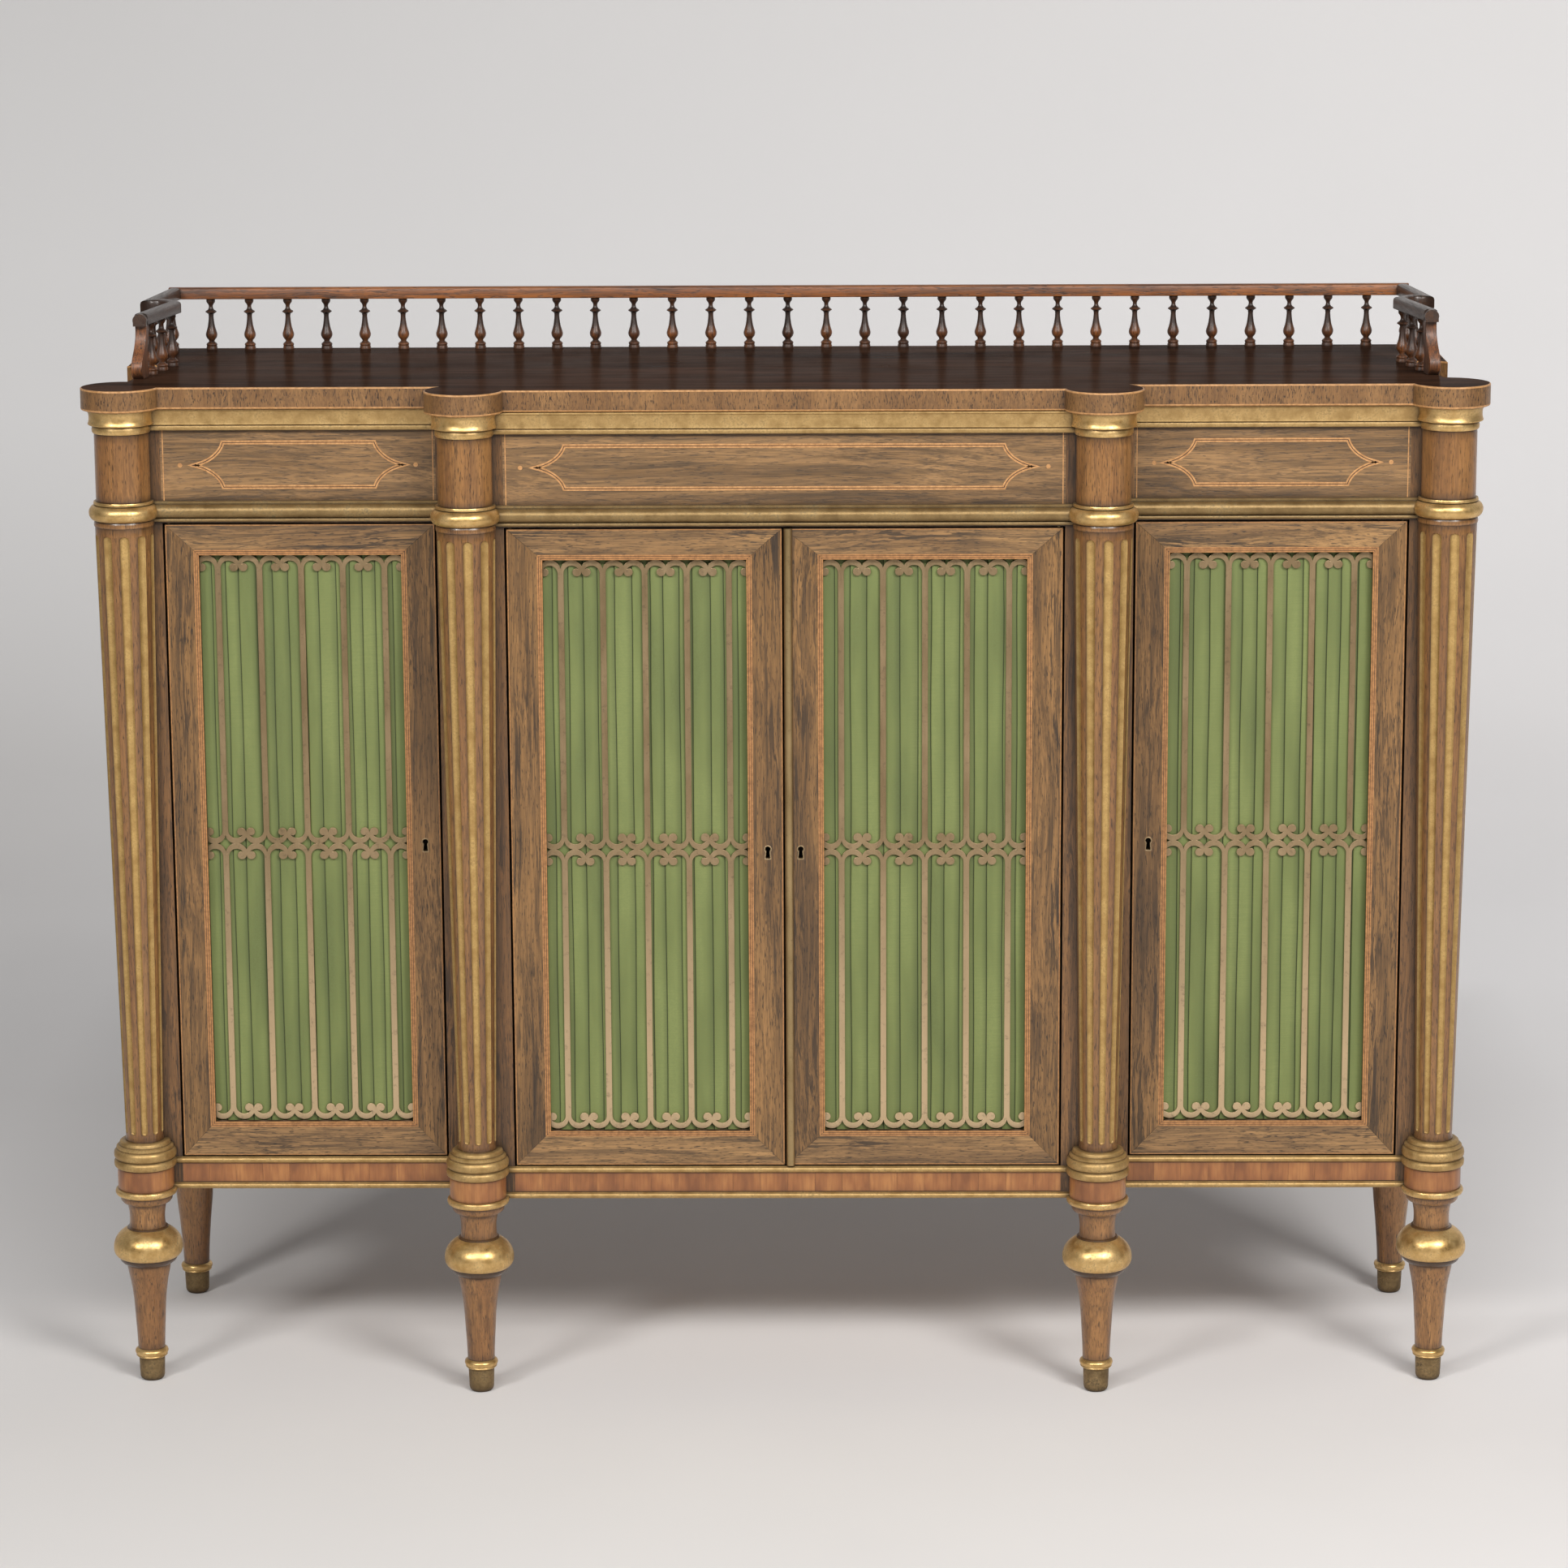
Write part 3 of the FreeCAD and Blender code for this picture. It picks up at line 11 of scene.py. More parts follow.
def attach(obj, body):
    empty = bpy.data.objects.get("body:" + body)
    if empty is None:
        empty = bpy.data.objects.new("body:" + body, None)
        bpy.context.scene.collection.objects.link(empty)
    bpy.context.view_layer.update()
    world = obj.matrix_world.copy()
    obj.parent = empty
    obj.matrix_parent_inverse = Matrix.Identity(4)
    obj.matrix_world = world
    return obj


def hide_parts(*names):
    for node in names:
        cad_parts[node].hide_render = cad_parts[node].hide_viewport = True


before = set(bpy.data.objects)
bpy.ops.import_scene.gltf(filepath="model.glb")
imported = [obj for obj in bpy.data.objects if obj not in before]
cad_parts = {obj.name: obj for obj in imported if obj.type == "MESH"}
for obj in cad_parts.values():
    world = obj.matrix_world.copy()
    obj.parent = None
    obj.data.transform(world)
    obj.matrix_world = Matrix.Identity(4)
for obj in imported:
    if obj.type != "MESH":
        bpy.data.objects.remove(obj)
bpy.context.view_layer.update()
MM = 0.001
RNG = random.Random(11)


# ---- colour and node helpers
def lin(*rgb):
    """A colour written as 0-255 values, as the renderer wants it."""
    parts = [v / 255 for v in rgb]
    return (*(v / 12.92 if v <= 0.04045 else ((v + 0.055) / 1.055) ** 2.4 for v in parts), 1.0)


def colour(c):
    """0-255 values turned into a colour; a socket or a ready colour is passed on."""
    return lin(*c) if isinstance(c, tuple) and len(c) == 3 else c


class Graph:
    """A material's nodes, built by short calls that give output sockets."""

    def __init__(self, name):
        self.mat = bpy.data.materials.new(name)
        self.mat.use_nodes = True
        self.tree = self.mat.node_tree
        self.tree.nodes.clear()
        self.surface = self.tree.nodes.new("ShaderNodeOutputMaterial").inputs["Surface"]
        self.bsdf = self.node("BsdfPrincipled").node
        self.put(self.surface, self.bsdf.outputs["BSDF"])

    def node(self, kind, inputs=(), out=0, **values):
        """A new node's output; properties go by keyword, inputs by name or number."""
        n = self.tree.nodes.new("ShaderNode" + kind)
        for key, value in values.items():
            setattr(n, key, value)
        for key, value in dict(inputs).items():
            self.put(n.inputs[key], value)
        return n.outputs[out]

    def put(self, socket, value):
        """Sets a socket to a number, vector or colour, or links it to another socket."""
        if isinstance(value, (int, float, tuple)):
            socket.default_value = value
        else:
            self.tree.links.new(value, socket)

    def set(self, **values):
        for key, value in values.items():
            self.put(self.bsdf.inputs[key.replace("_", " ")], value)

    def attribute(self, name):
        return self.node("Attribute", out="Fac", attribute_name=name)

    def place(self):
        """Object coordinates as x, y and z, in metres."""
        spot = self.node("TexCoord", out="Object")
        return self.node("SeparateXYZ", {0: spot}).node.outputs

    def coords(self, scale):
        """Object coordinates scaled per axis, shifted by each board's own seed."""
        seed = self.attribute("seed")
        shift = self.node("CombineXYZ", {i: self.times(seed, k)
                for i, k in enumerate((0.731, 1.137, 0.913))})
        spot = self.node("TexCoord", out="Object")
        moved = self.node("VectorMath", {0: spot, 1: shift}, operation="ADD")
        return self.node("Mapping", {"Vector": moved, "Scale": scale})

    def noise(self, vec, detail=3, rough=0.5, distort=0):
        return self.node("TexNoise", {"Vector": vec, "Scale": 1, "Detail": detail,
                "Roughness": rough, "Distortion": distort}, "Fac")

    def cloud(self, scale, *kind):
        """Noise with one scale, or with one per axis."""
        scale = scale if isinstance(scale, tuple) else (scale,) * 3
        return self.noise(self.coords(scale), *kind)

    def bend(self, vec, wave, amount):
        """Shifts scaled coordinates by a slow wave, so that the grain isn't ruler straight."""
        shift = self.times(self.math("SUBTRACT", wave, 0.5), amount)
        return self.node("VectorMath", {0: vec, 1: shift}, operation="ADD")

    def math(self, op, a, b):
        return self.node("Math", {0: a, 1: b}, operation=op)

    def times(self, a, b):
        return self.math("MULTIPLY", a, b)

    def larger(self, a, b):
        return self.math("MAXIMUM", a, b)

    def blend(self, a, share_a, b, share_b):
        """Weighted sum of two values."""
        return self.math("ADD", self.times(a, share_a), self.times(b, share_b))

    def span(self, value, low, high, to_low=0, to_high=1):
        """Maps one range of values onto another and clamps it."""
        return self.node("MapRange", {"Value": value, "From Min": low, "From Max": high,
                "To Min": to_low, "To Max": to_high}, clamp=True)

    def mix(self, fac, a, b):
        return self.node("Mix", {0: fac, 6: colour(a), 7: colour(b)}, 2, data_type="RGBA")

    def ramp(self, fac, *stops):
        out = self.node("ValToRGB", {0: fac})
        elements = out.node.color_ramp.elements
        while len(elements) < len(stops):
            elements.new(0.5)
        for element, (place, tone) in zip(elements, stops):
            element.position, element.color = place, colour(tone)
        return out

    def shade_and_grime(self, reach, clean, full, depth):
        """The larger of the darkening marked on the mesh and the occlusion in corners within a
        reach in metres: painted shade, with some soiling.
        """
        open_share = self.node("AmbientOcclusion", {"Distance": reach}, "AO", samples=4)
        corners = self.span(open_share, clean, full, 0, depth)
        return self.larger(self.attribute("dirt"), corners)

    def bump(self, height, strength, distance):
        self.set(Normal=self.node("Bump", {"Strength": strength, "Distance": distance,
                "Height": height}))


def along(axis, across, length):
    """Texture scale with long cells along one axis: across and along the grain."""
    return tuple(length if letter == axis else across for letter in "xyz")


def veneer(name, axis, tones, figure=1, streak=1, speck=1, gloss=0.42, coat=0.15, patina=0,
        bands=24, shade=0.75, dash_length=13, pore_length=110):
    """Waxed open-pored wood: broad figure, dark lines, streaks and pores along the grain."""
    light, mid, dark, pore = tones
    g = Graph(name)
    wave = g.cloud(along(axis, 11, 3.2), 2)

    def grain(across, length, *kind):
        return g.noise(g.bend(g.coords(along(axis, across, length)), wave, across * 0.03), *kind)

    tone = g.ramp(grain(bands, 2.6, 5, 0.62, 0.5), (0.38, light), (0.60, mid))
    fine = grain(820, 2.4 * dash_length, 3, 0.55)
    tone = g.mix(g.span(fine, 0.46, 0.62, 0, 0.42), tone, dark)
    flow = grain(120, 5.5, 6, 0.66, 0.8)
    tone = g.mix(g.span(flow, 0.49, 0.60, 0, 0.50 * figure), tone, dark)
    dash = grain(300, dash_length, 4, 0.62, 0.3)
    cluster = g.span(grain(46, 4), 0.42, 0.58, 0.2, 1)
    dashes = g.times(g.span(dash, 0.51, 0.565), cluster)
    tone = g.mix(g.times(dashes, 0.85 * streak), tone, dark)
    pores = g.span(g.cloud(along(axis, 880, pore_length), 2), 0.58, 0.66)
    tone = g.mix(g.times(pores, 0.80 * speck), tone, pore)
    tone = g.mix(g.span(g.cloud(9, 2), 0.40, 0.72, 0, 0.2), tone, light)
    # painted shade with some soiling: corners and marked joints darkened towards the pore colour
    tone = g.mix(g.shade_and_grime(0.012, 0.93, 0.42, shade), tone, pore)
    if patina:
        blotch = g.cloud((55, 55, 38), 4, 0.65)
        tone = g.mix(g.span(blotch, 0.50, 0.78, 0, patina), tone, pore)
    g.set(Base_Color=tone, Roughness=g.span(dash, 0.3, 0.7, gloss - 0.07, gloss + 0.09),
          Coat_Weight=coat, Coat_Roughness=0.2)
    g.bump(g.blend(dash, 0.3, pores, -0.7), 0.3, 0.0004)
    return g.mat


def gilding(name, bright, mid, under, wear, rough=0.36, metal=0.7, scale=1):
    """Old gilding: leaf with brown rubbed patches, painted shade with some soiling in the recesses,
    and a lumpy ground.
    """
    g = Graph(name)
    leaf = g.cloud(70 * scale, 6, 0.65)
    fine = g.cloud(420, 4, 0.6)
    rubbed = g.blend(leaf, 0.5, fine, 0.5)
    bare = g.span(rubbed, 0.52, 0.66, 0, wear)
    tone = g.mix(bare, g.mix(g.span(leaf, 0.36, 0.62), mid, bright), under)
    # painted shade with some soiling: recesses and marked joints turn dark brown and less metallic
    shade_and_grime = g.shade_and_grime(0.009, 0.97, 0.40, 0.9)
    g.set(Base_Color=g.mix(shade_and_grime, tone, (58, 42, 20)),
          Metallic=g.span(g.larger(bare, shade_and_grime), 0, 1, metal, 0.25),
          Roughness=g.span(rubbed, 0.35, 0.68, rough, rough + 0.25))
    g.bump(g.blend(leaf, 0.6, fine, 0.4), 0.28, 0.0008)
    return g.mat


def old_brass(name, bright, mid, stain, rough=0.42, painted_floor_reflection=0):
    """Lacquered brass gone dull, with darker stains; painted_floor_reflection lightens its lower
    half: a painted reflection of the floor.
    """
    g = Graph(name)
    fine = g.cloud(900)
    brushed = g.cloud((1400, 1400, 60), 2)
    tone = g.mix(g.span(g.cloud((34, 34, 12), 5, 0.6), 0.35, 0.65), mid, bright)
    if painted_floor_reflection:
        # painted reflection of the floor: the lower half of the plate paler
        tone = g.mix(g.span(g.place()[2], 0.62, 0.34, 0, painted_floor_reflection), tone, (232, 204, 164))
    spots = g.span(g.cloud(160, 5, 0.7), 0.56, 0.72, 0, 0.45)
    stains = g.larger(spots, g.attribute("dirt"))
    g.set(Base_Color=g.mix(stains, tone, stain), Metallic=g.span(stains, 0, 1, 0.9, 0.35),
          Roughness=g.span(brushed, 0.3, 0.7, rough - 0.05, rough + 0.12))
    g.bump(g.blend(fine, 0.5, brushed, 0.5), 0.12, 0.0002)
    return g.mat


def polished_top(name):
    """Old polished dark veneer with a soft long figure; low gloss keeps it dark when seen flat."""
    g = Graph(name)
    figure = g.cloud((3, 30, 30), 6, 0.6, 0.7)
    fine = g.cloud((16, 420, 420), 3, 0.6)
    tone = g.ramp(figure, (0.34, (78, 53, 40)), (0.5, (64, 44, 33)), (0.66, (48, 33, 26)))
    tone = g.mix(g.span(fine, 0.48, 0.68, 0, 0.6), tone, (32, 23, 18))
    wear = g.cloud(12, 4, 0.6)
    g.set(Base_Color=tone, Roughness=g.span(wear, 0.3, 0.7, 0.16, 0.28), IOR=1.012)
    return g.mat


def satinwood(name):
    """Orange cross-banding, grain upright, whose short strips differ in tone."""
    g = Graph(name)
    fine = g.cloud((380, 380, 24), 4, 0.6)
    broad = g.cloud((42, 42, 14), 3, 0.6)
    tone = g.ramp(broad, (0.34, (174, 119, 68)), (0.5, (152, 98, 55)), (0.66, (124, 77, 44)))
    tone = g.mix(g.span(fine, 0.46, 0.66, 0, 0.42), tone, (114, 68, 42))
    # painted shade with some soiling: corners and marked joints darkened
    tone = g.mix(g.shade_and_grime(0.010, 0.95, 0.45, 0.8), tone, (60, 34, 22))
    g.set(Base_Color=tone, Roughness=g.span(fine, 0.3, 0.7, 0.30, 0.42),
          Coat_Weight=0.25, Coat_Roughness=0.2)
    g.bump(fine, 0.12, 0.0003)
    return g.mat


def stringing(name, light, dark):
    """A thin inlaid line of wood."""
    g = Graph(name)
    n = g.cloud(260, 4, 0.6)
    g.set(Base_Color=g.mix(g.span(n, 0.35, 0.68), light, dark),
          Roughness=g.span(n, 0.3, 0.7, 0.36, 0.5))
    g.bump(n, 0.08, 0.0002)
    return g.mat


def silk_cloth(name):
    """Pleated green silk: fine cross slubs, soft sheen, painted shade in the folds."""
    g = Graph(name)
    slub = g.cloud((60, 60, 1500), 4, 0.6)
    thread = g.cloud((1500, 1500, 90), 2)
    broad = g.cloud((30, 30, 6))
    tone = g.ramp(broad, (0.34, (121, 130, 74)), (0.52, (108, 117, 64)), (0.68, (96, 105, 57)))
    cell = g.blend(slub, 0.5, g.cloud(560), 0.5)
    tone = g.mix(g.span(cell, 0.42, 0.60, 0, 0.45), tone, (104, 118, 68))
    # painted shade: the marked folds and tucks turn dark green
    tone = g.mix(g.attribute("dirt"), tone, (48, 58, 30))
    g.set(Base_Color=tone, Roughness=g.span(slub, 0.3, 0.7, 0.55, 0.72),
          Sheen_Weight=0.25, Sheen_Roughness=0.4, Sheen_Tint=(0.8, 0.88, 0.6, 1))
    g.bump(g.blend(slub, 0.6, thread, 0.4), 0.25, 0.0002)
    return g.mat


def dark_metal(name, base, rough, metal):
    """Plain steel or a darkened metal with fine scratches."""
    g = Graph(name)
    n = g.cloud((220, 220, 40), 5, 0.65)
    fine = g.cloud((1200, 1200, 300), 2)
    shade = (*(v * 0.45 for v in lin(*base)[:3]), 1.0)
    g.set(Base_Color=g.mix(g.span(n, 0.42, 0.68), base, shade), Metallic=metal,
          Roughness=g.span(fine, 0.3, 0.7, rough - 0.06, rough + 0.12))
    g.bump(n, 0.15, 0.0003)
    return g.mat


# tones of each wood: light, middle, dark, pores
ROSE = (173, 133, 85), (129, 97, 62), (44, 34, 24), (32, 24, 17)
UPRIGHT = (148, 109, 64), (108, 78, 44), (38, 28, 19), (30, 22, 15)
FRIEZE = (156, 120, 79), (118, 89, 57), (46, 36, 25), (38, 28, 19)
DARK = (134, 95, 55), (109, 75, 42), (52, 38, 26), (46, 34, 24)
TURNED = (160, 115, 67), (136, 93, 53), (84, 55, 32), (46, 31, 19)
EDGE = (145, 107, 66), (121, 86, 51), (72, 50, 30), (44, 30, 20)
MAHOGANY = (142, 86, 46), (86, 52, 33), (40, 27, 21), (30, 23, 20)
RAIL = (164, 98, 42), (124, 70, 30), (50, 30, 18), (34, 22, 14)
RAIL_DARK = (84, 58, 42), (58, 42, 34), (38, 28, 23), (28, 21, 18)
TIMBER = (172, 138, 98), (150, 116, 78), (112, 82, 54), (84, 60, 40)
M = {
    "wood_z": veneer("faded_veneer_upright", "z", UPRIGHT),
    "wood_x": veneer("faded_veneer_level", "x", ROSE),
    "frieze": veneer("frieze_veneer_level", "x", FRIEZE, streak=0.55, speck=0.7, bands=34),
    "wood_y": veneer("faded_veneer_side", "z", ROSE, bands=18),
    "wood_dark": veneer("stile_veneer", "z", DARK),
    "turned": veneer("turned_wood", "z", TURNED, figure=0.5, streak=0.5, gloss=0.32, coat=0.35,
        patina=0.3, shade=0.95),
    "edge": veneer("top_edge_banding", "z", EDGE, figure=0.3, streak=0.55, speck=1.2,
        dash_length=60, pore_length=210),
    "mahogany": veneer("gallery_wood", "z", MAHOGANY, streak=0.7, coat=0.06, patina=0.4, bands=14),
    "rail": veneer("gallery_rail_wood", "x", RAIL, figure=0.9, streak=0.7, gloss=0.4, coat=0,
        patina=0.3),
    "rail_dark": veneer("gallery_side_rail_wood", "y", RAIL_DARK, gloss=0.34, coat=0.08,
        patina=0.4),
    "carcass": veneer("carcass_timber", "z", TIMBER, figure=0.5, streak=0.5, speck=0.5, gloss=0.6,
        coat=0),
    "top": polished_top("polished_top"),
    "satin_z": satinwood("cross_banding"),
    "line": stringing("pale_line", (200, 150, 98), (160, 114, 68)),
    "line_warm": stringing("band_line", (182, 130, 80), (140, 97, 56)),
    "line_dark": stringing("dark_line", (66, 42, 28), (46, 30, 22)),
    "gilt": gilding("gilding", (232, 196, 134), (196, 158, 98), (106, 76, 40), 0.6, 0.27, 0.85),
    "gilt_dull": gilding("gilding_dull", (196, 163, 108), (165, 133, 83), (108, 88, 54), 0.6),
    "gilt_torus": gilding("gilding_rubbed", (158, 131, 87), (126, 102, 65), (92, 84, 62), 0.8,
        scale=0.5),
    "gilt_flute": gilding("gilding_flutes", (210, 174, 110), (180, 143, 85), (108, 76, 40), 0.4,
        metal=0.65),
    "sabot": gilding("worn_caps", (150, 126, 88), (108, 88, 60), (56, 44, 32), 0.8, 0.45),
    "grille": old_brass("grille_brass", (166, 143, 110), (140, 119, 88), (66, 54, 38),
        painted_floor_reflection=0.6),
    "brass": old_brass("fittings_brass", (176, 150, 108), (146, 122, 84), (74, 58, 38), 0.36),
    "steel": dark_metal("bolt_steel", (140, 138, 134), 0.38, 1),
    "iron": dark_metal("lock_iron", (58, 52, 46), 0.5, 0.8),
    "silk": silk_cloth("pleated_silk"), }


# ---- mesh helpers
def new_object(name, data):
    obj = bpy.data.objects.new(name, data)
    bpy.context.scene.collection.objects.link(obj)
    return obj


def dress(obj, body, node=None):
    """Hangs a piece on the body it rides on and hides the node it stands for."""
    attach(obj, body)
    if node:
        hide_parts(node)
    return obj


class Shape:
    """Vertices and faces in millimetres, with a material, a grain seed and a darkening value:
    painted shade with some soiling.
    """

    def __init__(self):
        self.verts, self.dirt, self.faces, self.mats, self.seeds = [], [], [], [], []

    def add(self, verts, faces, mat=0, seed=0, dirt=None):
        """Adds faces; mat and seed are one value for all or a list with one per face."""
        n = len(self.verts)
        self.verts += verts
        self.dirt += dirt or [0] * len(verts)
        self.faces += [tuple(k + n for k in face) for face in faces]
        self.mats += mat if isinstance(mat, list) else [mat] * len(faces)
        self.seeds += seed if isinstance(seed, list) else [seed] * len(faces)
        return self

    def join(self, other):
        return self.add(other.verts, other.faces, other.mats, other.seeds, other.dirt)

    def mirror(self):
        """Adds the same shape on the other side of x = 0."""
        return self.add([(-x, y, z) for x, y, z in self.verts], [f[::-1] for f in self.faces],
                self.mats[:], [s + 3.7 for s in self.seeds], self.dirt[:])

    def loft(self, loops, mat=0, seed=0, dirt=None, cap=True, closed=True):
        """Skin over loops that all have the same number of points."""
        n = len(loops[0])
        faces = []
        for k in range(0, (len(loops) - 1) * n, n):
            for i in range(n if closed else n - 1):
                j = (i + 1) % n
                faces.append((k + i, k + j, k + n + j, k + n + i))
        if cap:
            faces.append(tuple(range(n))[::-1])
            faces.append(tuple(range((len(loops) - 1) * n, len(loops) * n)))
        return self.add([p for loop in loops for p in loop], faces, mat, seed, dirt)

    def lathe(self, profile, x, y, segs=56, seed=0):
        """Turned form: profile rows are (radius, height) or (radius, height, darkening); the
        darkening is painted shade with some soiling.
        """
        turns = [2 * pi * i / segs for i in range(segs)]
        loops = [[(x + row[0] * cos(t), y + row[0] * sin(t), row[1]) for t in turns]
                for row in profile]
        dirt = [row[2] if len(row) > 2 else 0 for row in profile for _ in turns]
        return self.loft(loops, 0, seed, dirt)

    def sweep(self, path, profile, mat=0, seed=0):
        """Moulding along a plan path; rows are (outward, height), outward to the right of it."""
        loops = []
        for i, (x, y) in enumerate(path):
            (nx, ny), stretch = path_normal(path, i)
            loops.append([(x + nx * out * stretch, y + ny * out * stretch, z)
                    for out, z in profile])
        return self.loft(loops, mat, seed)

    def plate(self, outline, y0, y1, mat=0, seed=0):
        """Front-facing plate from an outline of (x, z) points."""
        return self.loft([[(x, y, z) for x, z in outline] for y in (y1, y0)], mat, seed)

    def mesh(self, name):
        """The mesh in metres, with every closed shell's faces turned outward."""
        mesh = bpy.data.meshes.new(name)
        mesh.from_pydata([tuple(c * MM for c in v) for v in self.verts], [], self.faces)
        bm = bmesh.new()
        bm.from_mesh(mesh)
        bmesh.ops.recalc_face_normals(bm, faces=bm.faces)
        bm.to_mesh(mesh)
        bm.free()
        return mesh

    def make(self, name, slot, mats, node=None, body="carcass", bevel=0, angle=32):
        """The finished piece; edges sharper than an angle stay sharp, or get a small bevel."""
        mesh = self.mesh(name)
        for m in mats:
            mesh.materials.append(M[m])
        mesh.polygons.foreach_set("material_index", self.mats)
        for key, domain, values in (("seed", "FACE", self.seeds), ("dirt", "POINT", self.dirt)):
            mesh.attributes.new(key, "FLOAT", domain).data.foreach_set("value", values)
        obj = new_object(name, mesh)
        mesh.shade_smooth()
        mesh.set_sharp_from_angle(angle=radians(angle))
        for face in mesh.polygons:
            if len(face.vertices) > 6:
                face.use_smooth = False
        if bevel:
            mod = obj.modifiers.new("soft_edges", "BEVEL")
            mod.width = bevel * MM
            mod.segments = 2
            mod.limit_method = "ANGLE"
            mod.angle_limit = radians(40)
            mod.harden_normals = False
        return dress(obj, body, node)


def path_normal(path, i):
    """Normal to the right of a path at a point, and how much a mitre stretches there."""
    sides = []
    for a, b in ((i - 1, i), (i, i + 1)):
        if a >= 0 and b < len(path):
            dx, dy = path[b][0] - path[a][0], path[b][1] - path[a][1]
            size = hypot(dx, dy)
            sides.append((dy / size, -dx / size))
    x, y = sum(s[0] for s in sides), sum(s[1] for s in sides)
    size = hypot(x, y)
    n = (x / size, y / size)
    return n, 1 / max(0.25, n[0] * sides[0][0] + n[1] * sides[0][1])


def arc(cx, cy, r, a0, a1, steps, ry=None):
    """Points along an arc, angles in degrees; ry makes it an ellipse."""
    turns = [radians(a0 + (a1 - a0) * i / steps) for i in range(steps + 1)]
    return [(cx + r * cos(t), cy + (ry or r) * sin(t)) for t in turns]


def rect(x0, x1, z0, z1):
    return [(x0, z0), (x1, z0), (x1, z1), (x0, z1)]


def smooth(rows, steps=4):
    """Catmull-Rom curve through rows of numbers."""
    out = []
    for i in range(len(rows) - 1):
        near = [rows[max(0, min(len(rows) - 1, i + k))] for k in (-1, 0, 1, 2)]
        for s in range(steps):
            t = s / steps
            out.append(tuple(0.5 * (2 * b + (c - a) * t + (2 * a - 5 * b + 4 * c - d) * t * t
                    + (3 * b - a - 3 * c + d) * t ** 3) for a, b, c, d in zip(*near)))
    return out + [tuple(rows[-1])]


# ---- plan of the cabinet
CARCASS_LOW, FRIEZE_LOW, CARCASS_TOP, TOP_Z = 212, 935, 1056, 1079
SIDE_FACE, MID_FACE, POST_Y, BACK_Y = -117.5, -155.5, 155.5, 202.5
OUTER_X, INNER_X, OUTER_Y, INNER_Y = 689, 329.5, -123.5, -161.5
AXES_XY = [(-OUTER_X, OUTER_Y), (-INNER_X, INNER_Y), (INNER_X, INNER_Y), (OUTER_X, OUTER_Y)]
CORNER_X, CANT_X, REAR_X, RETURN_Y, HOLLOW = 679, 650, 690, 62, 10
SLOPE = (CANT_X - CORNER_X) / (RETURN_Y - SIDE_FACE)
BOARD = 22
LOBE_R, MID_LIP, LIP = 41, 10, 16


def side_path(out=0, y_end=POST_Y):
    """Right side of the plan from front to back, moved outward."""
    steps = 12
    points = [(CORNER_X + out * (1 + SLOPE), SIDE_FACE)]
    for i in range(steps + 1):
        t = i / steps
        points.append((CANT_X + out + (REAR_X - CANT_X) * t,
                RETURN_Y - out + HOLLOW * sin(pi * t) ** 0.8))
    return points + [(REAR_X + out, y_end)]


def top_outline(out):
    """Right half of the top from the front middle to the back corner, with its lobes."""
    r = LOBE_R + out
    mid, front = MID_FACE - MID_LIP - out, SIDE_FACE - LIP - out

    def meets(level, axis_y):
        """Where a lobe meets a straight edge, in degrees."""
        return degrees(asin((level - axis_y) / r))

    inner = arc(INNER_X, INNER_Y, r, 180 - meets(mid, INNER_Y), 360 + meets(front, INNER_Y), 40)
    outer = arc(OUTER_X, OUTER_Y, r, 180 - meets(front, OUTER_Y), 453, 44)
    return [(0, mid)] + inner + outer + side_path(LIP + out, BACK_Y)[1:]


def build_top():
    """The top board: banded edge between two pale lines."""
    levels = [(-1.6, 1056, 1), (-0.4, 1056.6, 1), (0, 1057.4, 1), (0, 1058.4, 1), (0, 1058.5, 0),
            (0, 1077.2, 0), (0, 1077.3, 1), (0, 1078.2, 1), (-0.5, 1078.8, 1), (-1.3, TOP_Z, 1)]
    loops = []
    for out, z, _ in levels:
        half = top_outline(out)
        loops.append([(x, y, z) for x, y in half] + [(-x, y, z) for x, y in half[:0:-1]])
    mats = [mat for _, _, mat in levels[1:] for _ in loops[0]]
    s = Shape().loft(loops, mats + [3, 2])
    s.make("top_shaped_board", "rosewood_top", ["edge", "line", "top", "carcass"], "top_board",
           angle=40)


# ---- gilt mouldings
CORNICE = [(-3, 1056), (12.4, 1056), (12.6, 1055.2), (12.4, 1054.3), (11.4, 1053.6), (10.4, 1051),
        (9.6, 1048), (9.1, 1044.5), (9, 1041), (9.2, 1039.6), (8.6, 1039), (6.4, 1038.8),
        (7.2, 1037.6), (7.5, 1036), (7.2, 1034.4), (6.2, 1033.2), (5.2, 1033), (-3, 1033)]
MOULDING = ([(-3, 958.5), (5.4, 958.5), (5.8, 958.1), (5.8, 956.2), (5.2, 955.8)]
        + arc(4.6, 948.3, 7.6, 84, -84, 12, 7.2)
        + [(5.6, 940.8), (6.6, 940.2), (7, 939), (6.6, 937.6), (5.6, 937), (-3, 937)])
BAND_LOW, BAND_TOP, APRON_TOP = 219.5, 240, 247.5


def bead(z0, z1):
    round_part = arc(0.9, (z0 + z1) / 2, 3.1, 80, -80, 8, (z1 - z0) / 2 * 0.86)
    return [(-3, z1), (0.9, z1)] + round_part + [(0.9, z0), (-3, z0)]


def runs(profile):
    """The five runs of a moulding: centre bay, side bays, shaped sides."""
    right = Shape()
    right.sweep([(INNER_X, SIDE_FACE), (500, SIDE_FACE), (CORNER_X, SIDE_FACE)], profile, 0, 1.1)
    right.sweep(side_path(), profile, 0, 2.3)
    centre = [(-INNER_X, MID_FACE), (0, MID_FACE), (INNER_X, MID_FACE)]
    return Shape().sweep(centre, profile, 0, 0.3).join(right.mirror())


